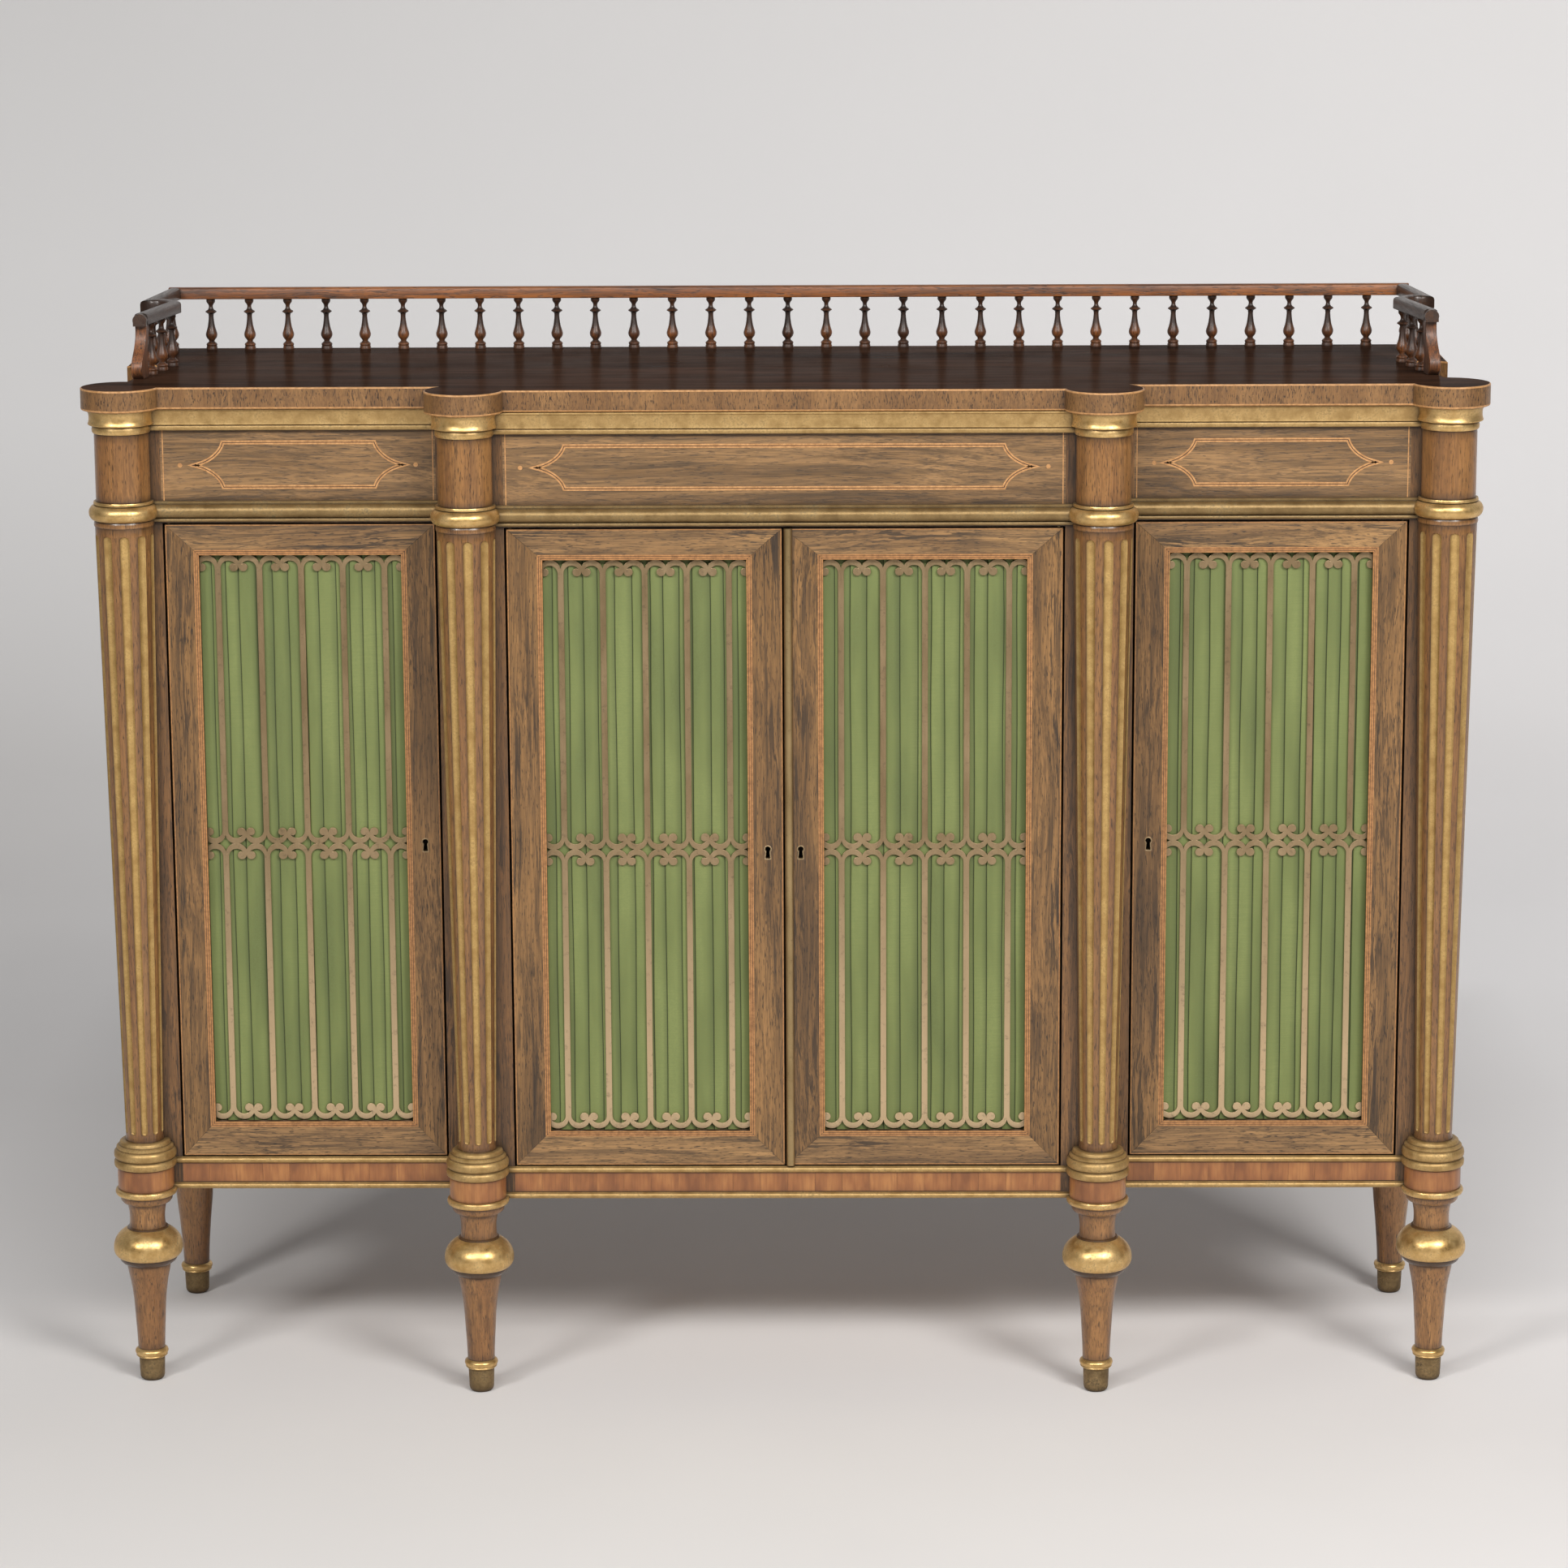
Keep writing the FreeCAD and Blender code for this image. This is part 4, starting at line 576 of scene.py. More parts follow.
def build_mouldings():
    beads = runs(bead(240.2, APRON_TOP)).join(runs(bead(CARCASS_LOW, 218.8)))
    for s, name, mat, node in ((runs(CORNICE), "cornice_band", "gilt_dull", "cornice_gilt"),
            (runs(MOULDING), "frieze_torus", "gilt_torus", "frieze_moulding_gilt"),
            (beads, "apron_bead_runs", "gilt_dull", "apron_beads_gilt")):
        s.make(name, "gilding", [mat], node)


# ---- frieze, aprons and sides
BAYS = [(-650, -363.5, SIDE_FACE), (-290.5, 290.5, MID_FACE), (363.5, 650, SIDE_FACE)]
# x of the two tips, the two corners and the two dots; upper, lower and middle height; face
CARTOUCHES = [(-616.9, -394.5, -584.7, -426.7, -629.8, -384, 1019.4, 972.6, 995.6, SIDE_FACE),
        (-258.8, 258.8, -227, 227, -272.7, 272.7, 1019.8, 975.4, 997.4, MID_FACE),
        (394.5, 616.9, 426.7, 584.7, 384, 629.8, 1018.8, 972.4, 995.2, SIDE_FACE)]


def pointed_end(tip, corner, mid):
    """A function that gives the curve from a cartouche's corner at a height to its tip."""
    steps, bow = 14, 0.72
    rows = []
    for i in range(steps + 1):
        t = radians(90 * i / steps)
        rows.append(((tip + (corner - tip) * cos(t)) * bow
                + (corner + (tip - corner) * i / steps) * (1 - bow),
                sin(t) * bow + i / steps * (1 - bow)))
    return lambda level: [(x, level + (mid - level) * f) for x, f in rows]


def build_frieze():
    s = Shape()
    for i, (x0, x1, face) in enumerate(BAYS):
        s.plate(rect(x0, x1, FRIEZE_LOW, CARCASS_TOP), face, face + BOARD, 0, 5.1 + i * 2.7)
    s.make("frieze_veneer", "rosewood", ["frieze"], "frieze_boards")
    lines = Shape()
    for tip0, tip1, c0, c1, dot0, dot1, high, low, mid, face in CARTOUCHES:
        left, right = pointed_end(tip0, c0, mid), pointed_end(tip1, c1, mid)
        middle = (c0 + c1) / 2
        loop = (left(high)[::-1] + [(middle, high)] + right(high) + right(low)[-2::-1]
                + [(middle, low)] + left(low)[:-1])
        for inner, outer, mat, proud in ((-2.1, -0.4, 0, 0.10), (-0.4, 0.4, 1, 0.07),
                (0.4, 2.1, 0, 0.10)):
            band(lines, loop, inner, outer, face - proud, face + 1, mat)
        for x in (dot0, dot1):
            lines.plate(arc(x, mid, 2.4, 0, 330, 11), face - 0.12, face + 1, 0, 0.4)
    inset, half, low, high = 2.6, 0.55, 958.6, 1032.8
    for x0, x1, face in BAYS:
        for x in (x0 + inset, x1 - inset):
            lines.plate(rect(x - half, x + half, low, high), face - 0.08, face + 1, 0, 0.9)
    lines.make("frieze_cartouche_lines", "boxwood_line", ["line", "line_dark"], "frieze_inlay",
            angle=60)


def band(s, loop, inner, outer, y0, y1, mat):
    """A flat ring that follows a closed outline between two offsets."""
    n = len(loop)
    verts = []
    for off, y in ((inner, y1), (inner, y0), (outer, y0), (outer, y1)):
        for i, b in enumerate(loop):
            a, c = loop[i - 1], loop[(i + 1) % n]
            d1 = Vector((b[0] - a[0], b[1] - a[1])).normalized()
            d2 = Vector((c[0] - b[0], c[1] - b[1])).normalized()
            m = Vector((d1.y + d2.y, -(d1.x + d2.x))).normalized()
            stretch = min(2.6, 1 / max(0.2, m.x * d1.y - m.y * d1.x))
            verts.append((b[0] + m.x * off * stretch, y, b[1] + m.y * off * stretch))
    faces = []
    for k, m in ((0, n), (n, 2 * n), (2 * n, 3 * n), (3 * n, 0)):
        for i in range(n):
            j = (i + 1) % n
            faces.append((k + i, k + j, m + j, m + i))
    s.add(verts, faces, mat, 0.2)


def build_aprons():
    """Strips of cross-banding on a dark ground that shows as thin joints."""
    strip_width, joint = 28.5, 0.08
    s = Shape()
    for x0, x1, face in BAYS:
        count = round((x1 - x0) / strip_width)
        xs = [x0 + (x1 - x0) * i / count for i in range(count + 1)]
        for a, b in zip(xs, xs[1:]):
            s.plate(rect(a + joint, b - joint, BAND_LOW + 0.1, BAND_TOP + 0.6), face - 0.05,
                    face + 3, 0, RNG.uniform(0, 40))
        s.plate(rect(x0, x1, CARCASS_LOW, APRON_TOP), face + 0.6, face + BOARD, 1, 0.5)
    s.make("apron_cross_banding", "satinwood", ["satin_z", "line_dark"], "aprons")


def build_sides():
    """Shaped sides, veneered upright, with the cross-banded strip between the beads."""
    s = Shape()
    thick = 18
    path = side_path()
    path[0] = (CORNER_X + SLOPE * BOARD, SIDE_FACE + BOARD)
    for z0, z1, mat, seed in ((BAND_TOP, CARCASS_TOP, 0, 8.2), (BAND_LOW, BAND_TOP, 1, 9.2),
            (CARCASS_LOW, BAND_LOW, 2, 9.2)):
        s.sweep(path, [(0, z0), (0, z1), (-thick, z1), (-thick, z0)], mat, seed)
    s.mirror().make("side_shaped_veneer", "rosewood", ["wood_y", "satin_z", "line_dark"],
            "side_panels")


# ---- columns and legs
def shade_fading(most, fade, start, rows, steps=4):
    """A smooth turned curve darkened near a joint at a height: painted shade with some soiling that
    fades with the distance.
    """
    return [(r, z, max(0, most - abs(z - start) * fade)) for r, z in smooth(rows, steps)]


# turned profiles: radius, height and, where it isn't 0, darkening: painted shade with some soiling
# at joints and recesses
CAP = [(27, 1031.7), (29.4, 1031.7), (30.3, 1033), (30.6, 1035.5), (30.2, 1038),
       (29.6, 1039.6, 0.7), (32.8, 1040), (34.2, 1040.6), (34.4, 1041.6), (33.9, 1042.6),
       (33.3, 1045.5), (33.2, 1049), (33.6, 1052), (34.4, 1054), (34.7, 1055), (34.7, 1056)]
COLLAR = ([(28.5, 939.5, 0.8)] + arc(28.9, 948.1, 7.5, -88, 88, 16, 8.4)
        + [(30.2, 956.7, 0.7), (31.2, 957.1), (31.3, 958.6), (30.8, 960), (28, 960)])
DRUM = [(28.2, 960, 0.85), (28.4, 962.5, 0.45), (28.4, 968), (28.4, 1022), (28.4, 1028, 0.4),
        (28.2, 1031.7, 0.85)]
BASE = [(28, 240), (31.8, 240.2), (33, 241.6), (33.4, 244), (33.2, 246.6), (31.9, 248.4),
        (31, 249, 0.8), (31.2, 249.6, 0.7), (32, 250.2), (33, 251.8), (33.3, 254.4),
        (32.8, 257.6), (31.4, 259.6), (30.2, 260.2, 0.7), (30.6, 261.2), (30.4, 262.8),
        (29, 264.2), (27.6, 264.6, 0.7), (27.4, 266), (26.6, 268.2), (25, 269.4), (21, 269.6)]
BAND = [(29.6, 216, 0.7), (30, 217.5, 0.2), (30, 220), (30, 236), (30, 238.6, 0.3),
        (29.6, 240, 0.8)]
RING = [(26, 208.5), (30.4, 208.6), (32, 209.6), (33, 211.6), (33.1, 213.2), (32.2, 215.2),
        (30.6, 216), (28, 216)]
BALL = smooth([(29, 139), (32.2, 139.4), (34.8, 141.8), (36.4, 145), (37, 149), (36.6, 153.6),
        (35.2, 158.2), (32.6, 162.6), (29.2, 166.2), (25.4, 169), (22.4, 170.6), (20.6, 171.4)], 3)
NECK = ([(20.4, 170.2, 0.9), (21.8, 170.6, 0.8), (22, 171.6, 0.8), (21.3, 172.4, 0.8),
        (19.6, 172.8, 0.7)]
        + shade_fading(0.5, 0.08, 172.8, [(19.5, 173.2), (18.9, 178), (18.8, 184), (19.3, 190),
        (20.4, 196), (21.2, 199.2)], 3)
        + [(22, 199.5, 0.6), (25.6, 200.6, 0.1), (27.4, 203), (28, 206, 0.2), (28, 208.5, 0.8)])
LEG_FOOT = [(13.6, 30, 0.5), (14.3, 36.2, 0.7)]
LEG = (LEG_FOOT + shade_fading(0.45, 0.05, 36, [(14.5, 37.5), (15, 52), (16.1, 71), (17.5, 93),
        (19.6, 110), (22, 122), (23.4, 130.6)])
       + [(24.4, 131.4, 0.9), (27, 132.6, 0.8), (29.6, 134.8, 0.8), (31, 137.4, 0.85),
        (31, 139, 0.9)])
REAR_LEG = LEG_FOOT + shade_fading(0.4, 0.05, 36, [(14.4, 37.5), (15, 52), (16.3, 70), (18, 90),
        (20.2, 112), (22, 140), (23, 170), (23.5, 200), (23.5, 212.4)])
ANKLE = [(13.5, 26), (15.4, 26.2), (16.8, 27.6), (16.4, 28.6), (17.4, 30.2), (17.8, 32),
        (17.3, 33.8), (15.8, 35.2), (14.6, 35.8), (13.8, 36)]
SABOT = [(8.8, 0), (10.8, 0.5), (12.4, 2.2), (13.1, 4.8), (13.4, 12), (13.7, 20), (13.8, 26),
        (12, 26)]
SHAFT_RING = [(29.8, 933.4, 0.8), (30.9, 933.8, 0.5), (31.4, 935.6), (31.2, 938, 0.3),
        (30.6, 939.5, 0.9)]
SHAFT_TOP, SHAFT_LOW, FLUTE_TOP, FLUTE_LOW = 933.5, 269.6, 925.7, 277.6
FLUTES, FLUTE_TURN = 10, 8
REAR_XY = [(-680, 179), (680, 179)]
POST_IN, POST_OUT = 656.5, 703.5


def shaft(s, x, y, seed):
    """A tapering shaft with round-ended flutes gilt inside; wood on the ridges between them."""
    ends = [0, 0.15, 0.5, 1.1, 1.9, 2.8, 3.9, 5]
    levels = ([SHAFT_LOW, SHAFT_LOW + 1.6, SHAFT_LOW + 4] + [FLUTE_LOW + e * 0.68 for e in ends]
            + [300 + 47 * i for i in range(13)] + [900] + [FLUTE_TOP - e for e in ends[::-1]]
            + [SHAFT_TOP - 3.5, SHAFT_TOP])
    foot_r, head_r = 19.8, 30.4
    foot_wide, head_wide, foot_deep, head_deep = 6.6, 10.2, 1.9, 2.6
    across, between = 8, 3
    # painted shade at the flutes' edges
    edge_dirt = [0.62, 0.22, 0, 0, 0, 0, 0, 0.22]
    pitch = 2 * pi / FLUTES
    loops, dirt = [], []
    for z in levels:
        t = (z - SHAFT_LOW) / (SHAFT_TOP - SHAFT_LOW)
        r = foot_r + (head_r - foot_r) * t ** 0.94 + (0.8 if z < SHAFT_LOW + 3 else 0)
        full = (foot_wide + (head_wide - foot_wide) * t) / 2
        edge = max(0, min(z - FLUTE_LOW, FLUTE_TOP - z, full))
        w = sqrt(full ** 2 - (full - edge) ** 2)
        deep = (foot_deep + (head_deep - foot_deep) * t) * (w / full) ** 0.7
        half = asin(w / r)
        # painted shade with some soiling near the shaft's ends, where it meets the ring and the
        # base; the ridges keep a slight even darkening
        end_shade = 0.7 - min(z - SHAFT_LOW, SHAFT_TOP - z) * 0.09
        ring = []
        for k in range(FLUTES):
            middle = radians(FLUTE_TURN - 90) + k * pitch
            for i, mark in enumerate(edge_dirt):
                u = -1 + 2 * i / across
                ring.append((middle + u * half, r - deep * sqrt(1 - u * u)))
                dirt.append(max(mark if w else 0, end_shade))
            for i in range(between):
                ring.append((middle + half + (pitch - 2 * half) * i / between, r))
                dirt.append(max(0.13, end_shade))
        loops.append([(x + b * cos(a), y + b * sin(a), z) for a, b in ring])
    mats = []
    for low, high in zip(levels, levels[1:]):
        gilt = FLUTE_LOW - 0.01 <= low and high <= FLUTE_TOP + 0.01
        mats += ([1 if gilt else 0] * across + [0] * between) * FLUTES
    s.loft(loops, mats + [0, 0], seed, dirt)


def turned_set(name, slot, mat, node, profiles, segs=56, places=AXES_XY):
    s = Shape()
    for i, (x, y) in enumerate(places):
        for k, profile in enumerate(profiles):
            s.lathe(profile, x, y, segs, 1.7 * i + (0.4, 0.9)[k])
    s.make(name, slot, [mat], node)


def build_columns():
    for name, mat, profile in (("column_caps", "gilt", CAP), ("column_collars", "gilt", COLLAR),
            ("column_bases", "gilt_dull", BASE)):
        turned_set(name, "gilding", mat, name + "_gilt", [profile])
    turned_set("column_bands", "satinwood", "satin_z", "column_bands", [BAND])
    s = Shape()
    for i, (x, y) in enumerate(AXES_XY):
        shaft(s, x, y, 2.1 * i)
        s.lathe(DRUM, x, y, 64, 2.1 * i + 1.1)
        s.lathe(SHAFT_RING, x, y, 64, 2.1 * i + 0.6)
    s.make("column_fluted_shafts", "rosewood_turned", ["turned", "gilt_flute"], "columns")


def build_legs():
    turned_set("front_leg_turnings", "rosewood_turned", "turned", "front_legs", [LEG, NECK])
    turned_set("leg_gilt_balls", "gilding", "gilt", "leg_balls_gilt", [BALL], 64)
    s = Shape()
    for i, (x, y) in enumerate(AXES_XY):
        s.lathe(RING, x, y, 56, i * 1.3)
    for i, (x, y) in enumerate(AXES_XY + REAR_XY):
        s.lathe(ANKLE, x, y, 48, i * 1.7)
    s.make("leg_gilt_rings", "gilding", ["gilt"], "leg_rings_gilt")
    turned_set("leg_worn_sabots", "gilding", "sabot", "leg_sabots", [SABOT], 48, AXES_XY + REAR_XY)
    s = Shape()
    for i, (x, y) in enumerate(REAR_XY):
        s.lathe(REAR_LEG, x, y, 48, 4.4 * i)
        x0, x1 = (POST_IN, POST_OUT) if x > 0 else (-POST_OUT, -POST_IN)
        s.loft([[(a, b, z) for a, b in rect(x0, x1, POST_Y, BACK_Y)]
                for z in (CARCASS_LOW, 600, CARCASS_TOP)], 1, 3.3 + i)
    s.make("rear_posts_and_legs", "rosewood_turned", ["turned", "wood_z"], "rear_legs", bevel=0.8)


# ---- doors
DOOR_LOW, DOOR_TOP, OPEN_LOW, OPEN_TOP = 248.5, 933.5, 286, 900.5
# name, left and right edge, face, sides of the opening, height where the grille's rows meet
DOORS = [("door_left", -648, -365.5, SIDE_FACE, -613, -401.5, 590),
        ("door_centre_left", -288.5, -2.5, MID_FACE, -251.25, -39.75, 591.2),
        ("door_centre_right", -1, 288.5, MID_FACE, 40, 251.5, 591.2),
        ("door_right", 365.5, 648, SIDE_FACE, 401.5, 613, 591.5)]
MITRE_GAP = 0.12


def door_frame(name, x0, x1, face, o0, o1):
    """Four mitred members with a double-lined band round the opening."""
    def grown(by, depth):
        return rect(o0 - by, o1 + by, OPEN_LOW - by, OPEN_TOP + by), depth

    def shrunk(by, depth):
        return rect(x0 + by, x1 - by, DOOR_LOW + by, DOOR_TOP - by), depth

    wood = None  # the member's own grain; 2 and 3 are the band's warm and dark wood
    # the inner face round the opening takes the band's dark wood: painted shade
    rows = [(shrunk(0, 0.45), wood), (shrunk(0.45, 0), wood), (shrunk(0.7, 0), wood),
            (shrunk(1.6, 0), 2), (grown(5.7, 0), wood), (grown(4.3, 0), 2), (grown(3.75, 0), 3),
            (grown(2.1, 0), 2), (grown(1.6, 0), 3), (grown(0.35, 0), 2), (grown(0, 0.35), 2),
            (grown(0, 7), 3), (grown(5, 7), wood), (grown(5, 20), wood), (shrunk(0, 20), wood),
            (shrunk(0, 10), wood)]
    n = len(rows)
    faces = [(i, (i + 1) % n, n + (i + 1) % n, n + i) for i in range(n)]
    faces += [tuple(range(n))[::-1], tuple(range(n, 2 * n))]
    s = Shape()
    for side, (gx, gz) in enumerate(((1, 0), (0, 1), (-1, 0), (0, -1))):
        grain = 1 if side in (0, 2) else 0
        ends = [[], []]
        for (corners, depth), _ in rows:
            for end, way in zip((0, 1), (1, -1)):
                x, z = corners[(side + end) % 4]
                gap = way * MITRE_GAP
                ends[end].append((x + gx * gap, face + depth, z + gz * gap))
        mats = [grain if kind is wood else kind for _, kind in rows[1:] + rows[:1]]
        s.add(ends[0] + ends[1], faces, mats + [grain] * 2, RNG.uniform(0, 60))
    return s.make(name + "_joinery", "rosewood", ["wood_z", "wood_x", "line_warm", "line_dark"],
            name + "_frame", name, angle=30)


# grille: bar width, depth of a notch over a bar and between two, curls, inset, overlap of rows
BAR, V_NOTCH, P_NOTCH = 6.2, 9.2, 6.6
CURL_R, CURL_END, CURL_TURN, CURL_START, DROP = 5.3, 3.4, 300, 34, 12.6
GRILLE_IN, LAP, BAR_PITCH = 0.8, 0.25, 0.2066
PLATE_DEPTH, PLATE_HALF, PLATE_SOFT = 8.2, 1, 0.22


def scroll(pair):
    """Right half of a bar head with its top at height 0: the upper arc and the lower edge."""
    k = P_NOTCH / V_NOTCH
    a, b, c = 1 - k, -2 * pair, pair ** 2 + P_NOTCH ** 2 - k * V_NOTCH ** 2
    cx = (-b - sqrt(b * b - 4 * a * c)) / (2 * a)
    r = (cx ** 2 + V_NOTCH ** 2) / (2 * V_NOTCH)
    a0 = degrees(atan2(r - V_NOTCH, -cx))
    a1 = degrees(atan2(r - P_NOTCH, pair - cx))
    upper = arc(cx, -r, r, a0, a1, 22)
    lower = []
    for i in range(21):
        turn = -radians(CURL_TURN) * i / 20
        reach = CURL_R + (CURL_END - CURL_R) * i / 20
        lower.append((pair - CURL_R + reach * cos(turn), -DROP + reach * sin(turn)))
    x, z = lower[-1]
    start = radians(CURL_START)
    inner_r = (x - BAR / 2) / (1 + cos(start))
    lower += arc(BAR / 2 + inner_r, z - inner_r * sin(start), inner_r, CURL_START, 180, 16)[1:]
    return upper, lower, r, cx


def grille_loops(cx, mid, spacing):
    """Outer edge and holes of a grille whose two rows of bars meet at a given height."""
    pair = spacing / 2
    upper, lower, r, top_x = scroll(pair)
    cross = sqrt(r * r - (r - LAP) ** 2)
    near = [p for p in upper[::-1] if p[0] < top_x - cross], top_x - cross
    far = [p for p in upper if p[0] > top_x + cross], top_x + cross
    above, below = (mid - LAP, -1), (mid + LAP, 1)
    rows = (OPEN_TOP - GRILLE_IN, mid - LAP), (mid + LAP, OPEN_LOW + GRILLE_IN)
    bars = [cx + (i - 2) * spacing for i in range(5)]

    def place(points, x, level, up, side=1):
        return [(x + side * px, level + up * pz) for px, pz in points]

    def edge(x, top, bottom):
        """Right side of one bar from its upper scroll tip to its lower one."""
        return place(lower, x, top, 1) + place(lower, x, bottom, -1)[::-1]

    def crossing(x, points, tip, first, then):
        """Right side of a place where the rows cross, from one row to the other."""
        return place(points, x, *first)[::-1] + [(x + tip, mid)] + place(points, x, *then)

    def heads(level, up):
        """The bar heads from the middle one to the right one."""
        points = place(upper, cx, level, up)
        for x in bars[3:]:
            points += place(upper, x, level, up, -1)[::-1] + place(upper, x, level, up)
        return points

    def closed(half, x):
        """An outline from the half on one side of an upright axis."""
        return half + [(2 * x - px, pz) for px, pz in half[::-1]]

    x = bars[-1]
    loops = [closed(heads(rows[0][0], 1) + edge(x, *rows[0]) + crossing(x, *far, above, below)
            + edge(x, *rows[1]) + heads(rows[1][1], -1)[::-1], cx)]
    loops += [closed(edge(x, *row), x + pair) for row in rows for x in bars[:-1]]
    loops += [closed(crossing(x, *near, above, below), x) for x in bars]
    return loops + [closed(crossing(x, *far, below, above), x + pair) for x in bars[:-1]]


def door_grille(name, face, o0, o1, mid):
    """The pierced plate, cut as one sheet with softened edges."""
    curve = bpy.data.curves.new(name + "_cut", "CURVE")
    curve.dimensions = "2D"
    curve.fill_mode = "BOTH"
    curve.extrude = (PLATE_HALF - PLATE_SOFT) * MM
    curve.bevel_depth = PLATE_SOFT * MM
    curve.bevel_resolution = 1
    curve.offset = -PLATE_SOFT * MM
    same = 0.03
    for loop in grille_loops((o0 + o1) / 2, mid, (o1 - o0) * BAR_PITCH):
        clean = [loop[0]]
        for p in loop[1:]:
            if dist(p, clean[-1]) > same:
                clean.append(p)
        if dist(clean[0], clean[-1]) < same:
            clean.pop()
        spline = curve.splines.new("POLY")
        spline.points.add(len(clean) - 1)
        for point, (x, z) in zip(spline.points, clean):
            point.co = (x * MM, z * MM, 0, 1)
        spline.use_cyclic_u = True
    maker = new_object(name + "_cut", curve)
    bpy.context.view_layer.update()
    mesh = bpy.data.meshes.new_from_object(maker)
    bpy.data.objects.remove(maker)
    bpy.data.curves.remove(curve)
    mesh.transform(Matrix.Translation((0, (face + PLATE_DEPTH) * MM, 0))
            @ Matrix.Rotation(pi / 2, 4, "X"))
    mesh.materials.clear()
    mesh.materials.append(M["grille"])
    mesh.shade_smooth()
    mesh.set_sharp_from_angle(angle=radians(30))
    dress(new_object(name + "_pierced_plate", mesh), name, name + "_grille")


# keyhole: distance from the door's edge, middle and radius of the head, rim, tail
KEY_IN, KEY_Z, KEY_R, KEY_RIM, KEY_FOOT, KEY_NECK, KEY_FLARE = 16.5, 593, 4.1, 1.2, 581.6, 2.9, 3.7


def keyhole_outline(x, grow):
    """A round head over a slightly flared tail."""
    r, low, flare, cut = KEY_R + grow, KEY_FOOT - grow, KEY_FLARE + grow, 0.8
    turn = degrees(asin((KEY_NECK + grow) / r))
    return arc(x, KEY_Z, r, turn - 90, 270 - turn, 28) + [
        (x - flare, low + cut), (x - flare + cut, low), (x + flare - cut, low),
        (x + flare, low + cut)]


def door_keyhole(joinery, name, face, x):
    """Cuts the keyhole through the stile and lines it with a thin rim."""
    cutter = Shape().plate(keyhole_outline(x, 0), face - 2, face + 30)
    tool = new_object("cutter", cutter.mesh("cutter"))
    mod = joinery.modifiers.new("keyhole", "BOOLEAN")
    mod.operation, mod.solver, mod.object = "DIFFERENCE", "EXACT", tool
    bpy.context.view_layer.update()
    graph = bpy.context.evaluated_depsgraph_get()
    cut = bpy.data.meshes.new_from_object(joinery.evaluated_get(graph))
    joinery.modifiers.remove(mod)
    joinery.data = cut
    bpy.data.objects.remove(tool)
    rim = ((0, 6), (0, -0.05), (-0.3, -0.2), (0.3 - KEY_RIM, -0.2), (-KEY_RIM, -0.05),
           (-KEY_RIM, 6))
    rows = [[(px, face + d, pz) for px, pz in keyhole_outline(x, grow)] for grow, d in rim]
    Shape().loft(rows, 0, 0.3, cap=False).make(name + "_keyhole_rim", "brass", ["grille"],
            body=name)


def door_fittings(name, x):
    """The hinge plates and meeting strip as they are; the keyhole lining is made anew."""
    bm = bmesh.new()
    bm.from_mesh(bpy.data.objects[name + "_brasses"].data)
    reach, low, high = 6, 570, 605
    lining = [v for v in bm.verts
            if abs(v.co.x - x * MM) < reach * MM and low < v.co.z / MM < high]
    bmesh.ops.delete(bm, geom=lining, context="VERTS")
    mesh = bpy.data.meshes.new(name + "_fittings")
    bm.to_mesh(mesh)
    bm.free()
    mesh.materials.append(M["brass"])
    dress(new_object(name + "_fittings", mesh), name, name + "_brasses")


# silk: number of pleats, rows of points, depth of a tuck, what lies behind the frame
PLEATS, CLOTH_ROWS, TUCK, SILK_OVER, SILK_DEPTH = 14, 40, 3.6, 4.4, 9.9


def door_silk(name, face, o0, o1):
    """A cloth in knife pleats, held at its head and foot behind the grille."""
    low, high = OPEN_LOW - SILK_OVER, OPEN_TOP + SILK_OVER
    width = o1 - o0 + 2 * SILK_OVER
    rng = random.Random(name)
    shares = [rng.uniform(0.8, 1.2) for _ in range(PLEATS)]
    folds = [o0 - SILK_OVER]
    for share in shares:
        folds.append(folds[-1] + share * width / sum(shares))
    waves = [(rng.uniform(0, 6.28), rng.uniform(1.2, 2.6), rng.uniform(0.2, 0.55)) for _ in folds]
    loops, dirt = [], []
    for r in range(CLOTH_ROWS + 1):
        z = low + (high - low) * r / CLOTH_ROWS
        calm = min(1, min(r, CLOTH_ROWS - r) / 4)
        sway = [size * sin(phase + rate * z * 0.01) * calm for phase, rate, size in waves]
        sway[0] = sway[-1] = 0
        line = []
        for k in range(PLEATS):
            a, b = folds[k] + sway[k], folds[k + 1] + sway[k + 1]
            w = b - a
            puff = 0.35 * sin(waves[k + 1][0] + z * 0.004)
            # the third value of each point is painted shade, darkest in the tucks between the
            # pleats
            line += [(a + 0.25, 0.35, 0.15), (a + 1, 0, 0), (a + w * 0.3, 0.25 - puff * 0.3, 0),
                    (a + w * 0.6, 0.75 - puff * 0.4, 0), (b - 1.1, 1.35, 0.35), (b - 0.1, 1.7, 1)]
            if k < PLEATS - 1:
                line += [(b + TUCK * 0.5, 2.1, 1), (b + TUCK, 2.4, 1), (b + TUCK + 0.2, 2.7, 1),
                        (b + TUCK * 0.5, 2.75, 1), (b + 0.5, 1.6, 1), (b + 0.05, 0.8, 0.75)]
        loops.append([(x, face + SILK_DEPTH + d, z) for x, d, _ in line])
        dirt += [m for _, _, m in line]
    s = Shape().loft(loops, 0, rng.uniform(0, 9), dirt, cap=False, closed=False)
    obj = s.make(name + "_pleated_cloth", "silk", ["silk"], name + "_silk", name, angle=180)


def build_doors():
    for name, x0, x1, face, o0, o1, mid in DOORS:
        joinery = door_frame(name, x0, x1, face, o0, o1)
        key_x = x1 - KEY_IN if x1 < 0 else x0 + KEY_IN
        door_keyhole(joinery, name, face, key_x)
        door_fittings(name, key_x)
        door_grille(name, face, o0, o1, mid)
        door_silk(name, face, o0, o1)


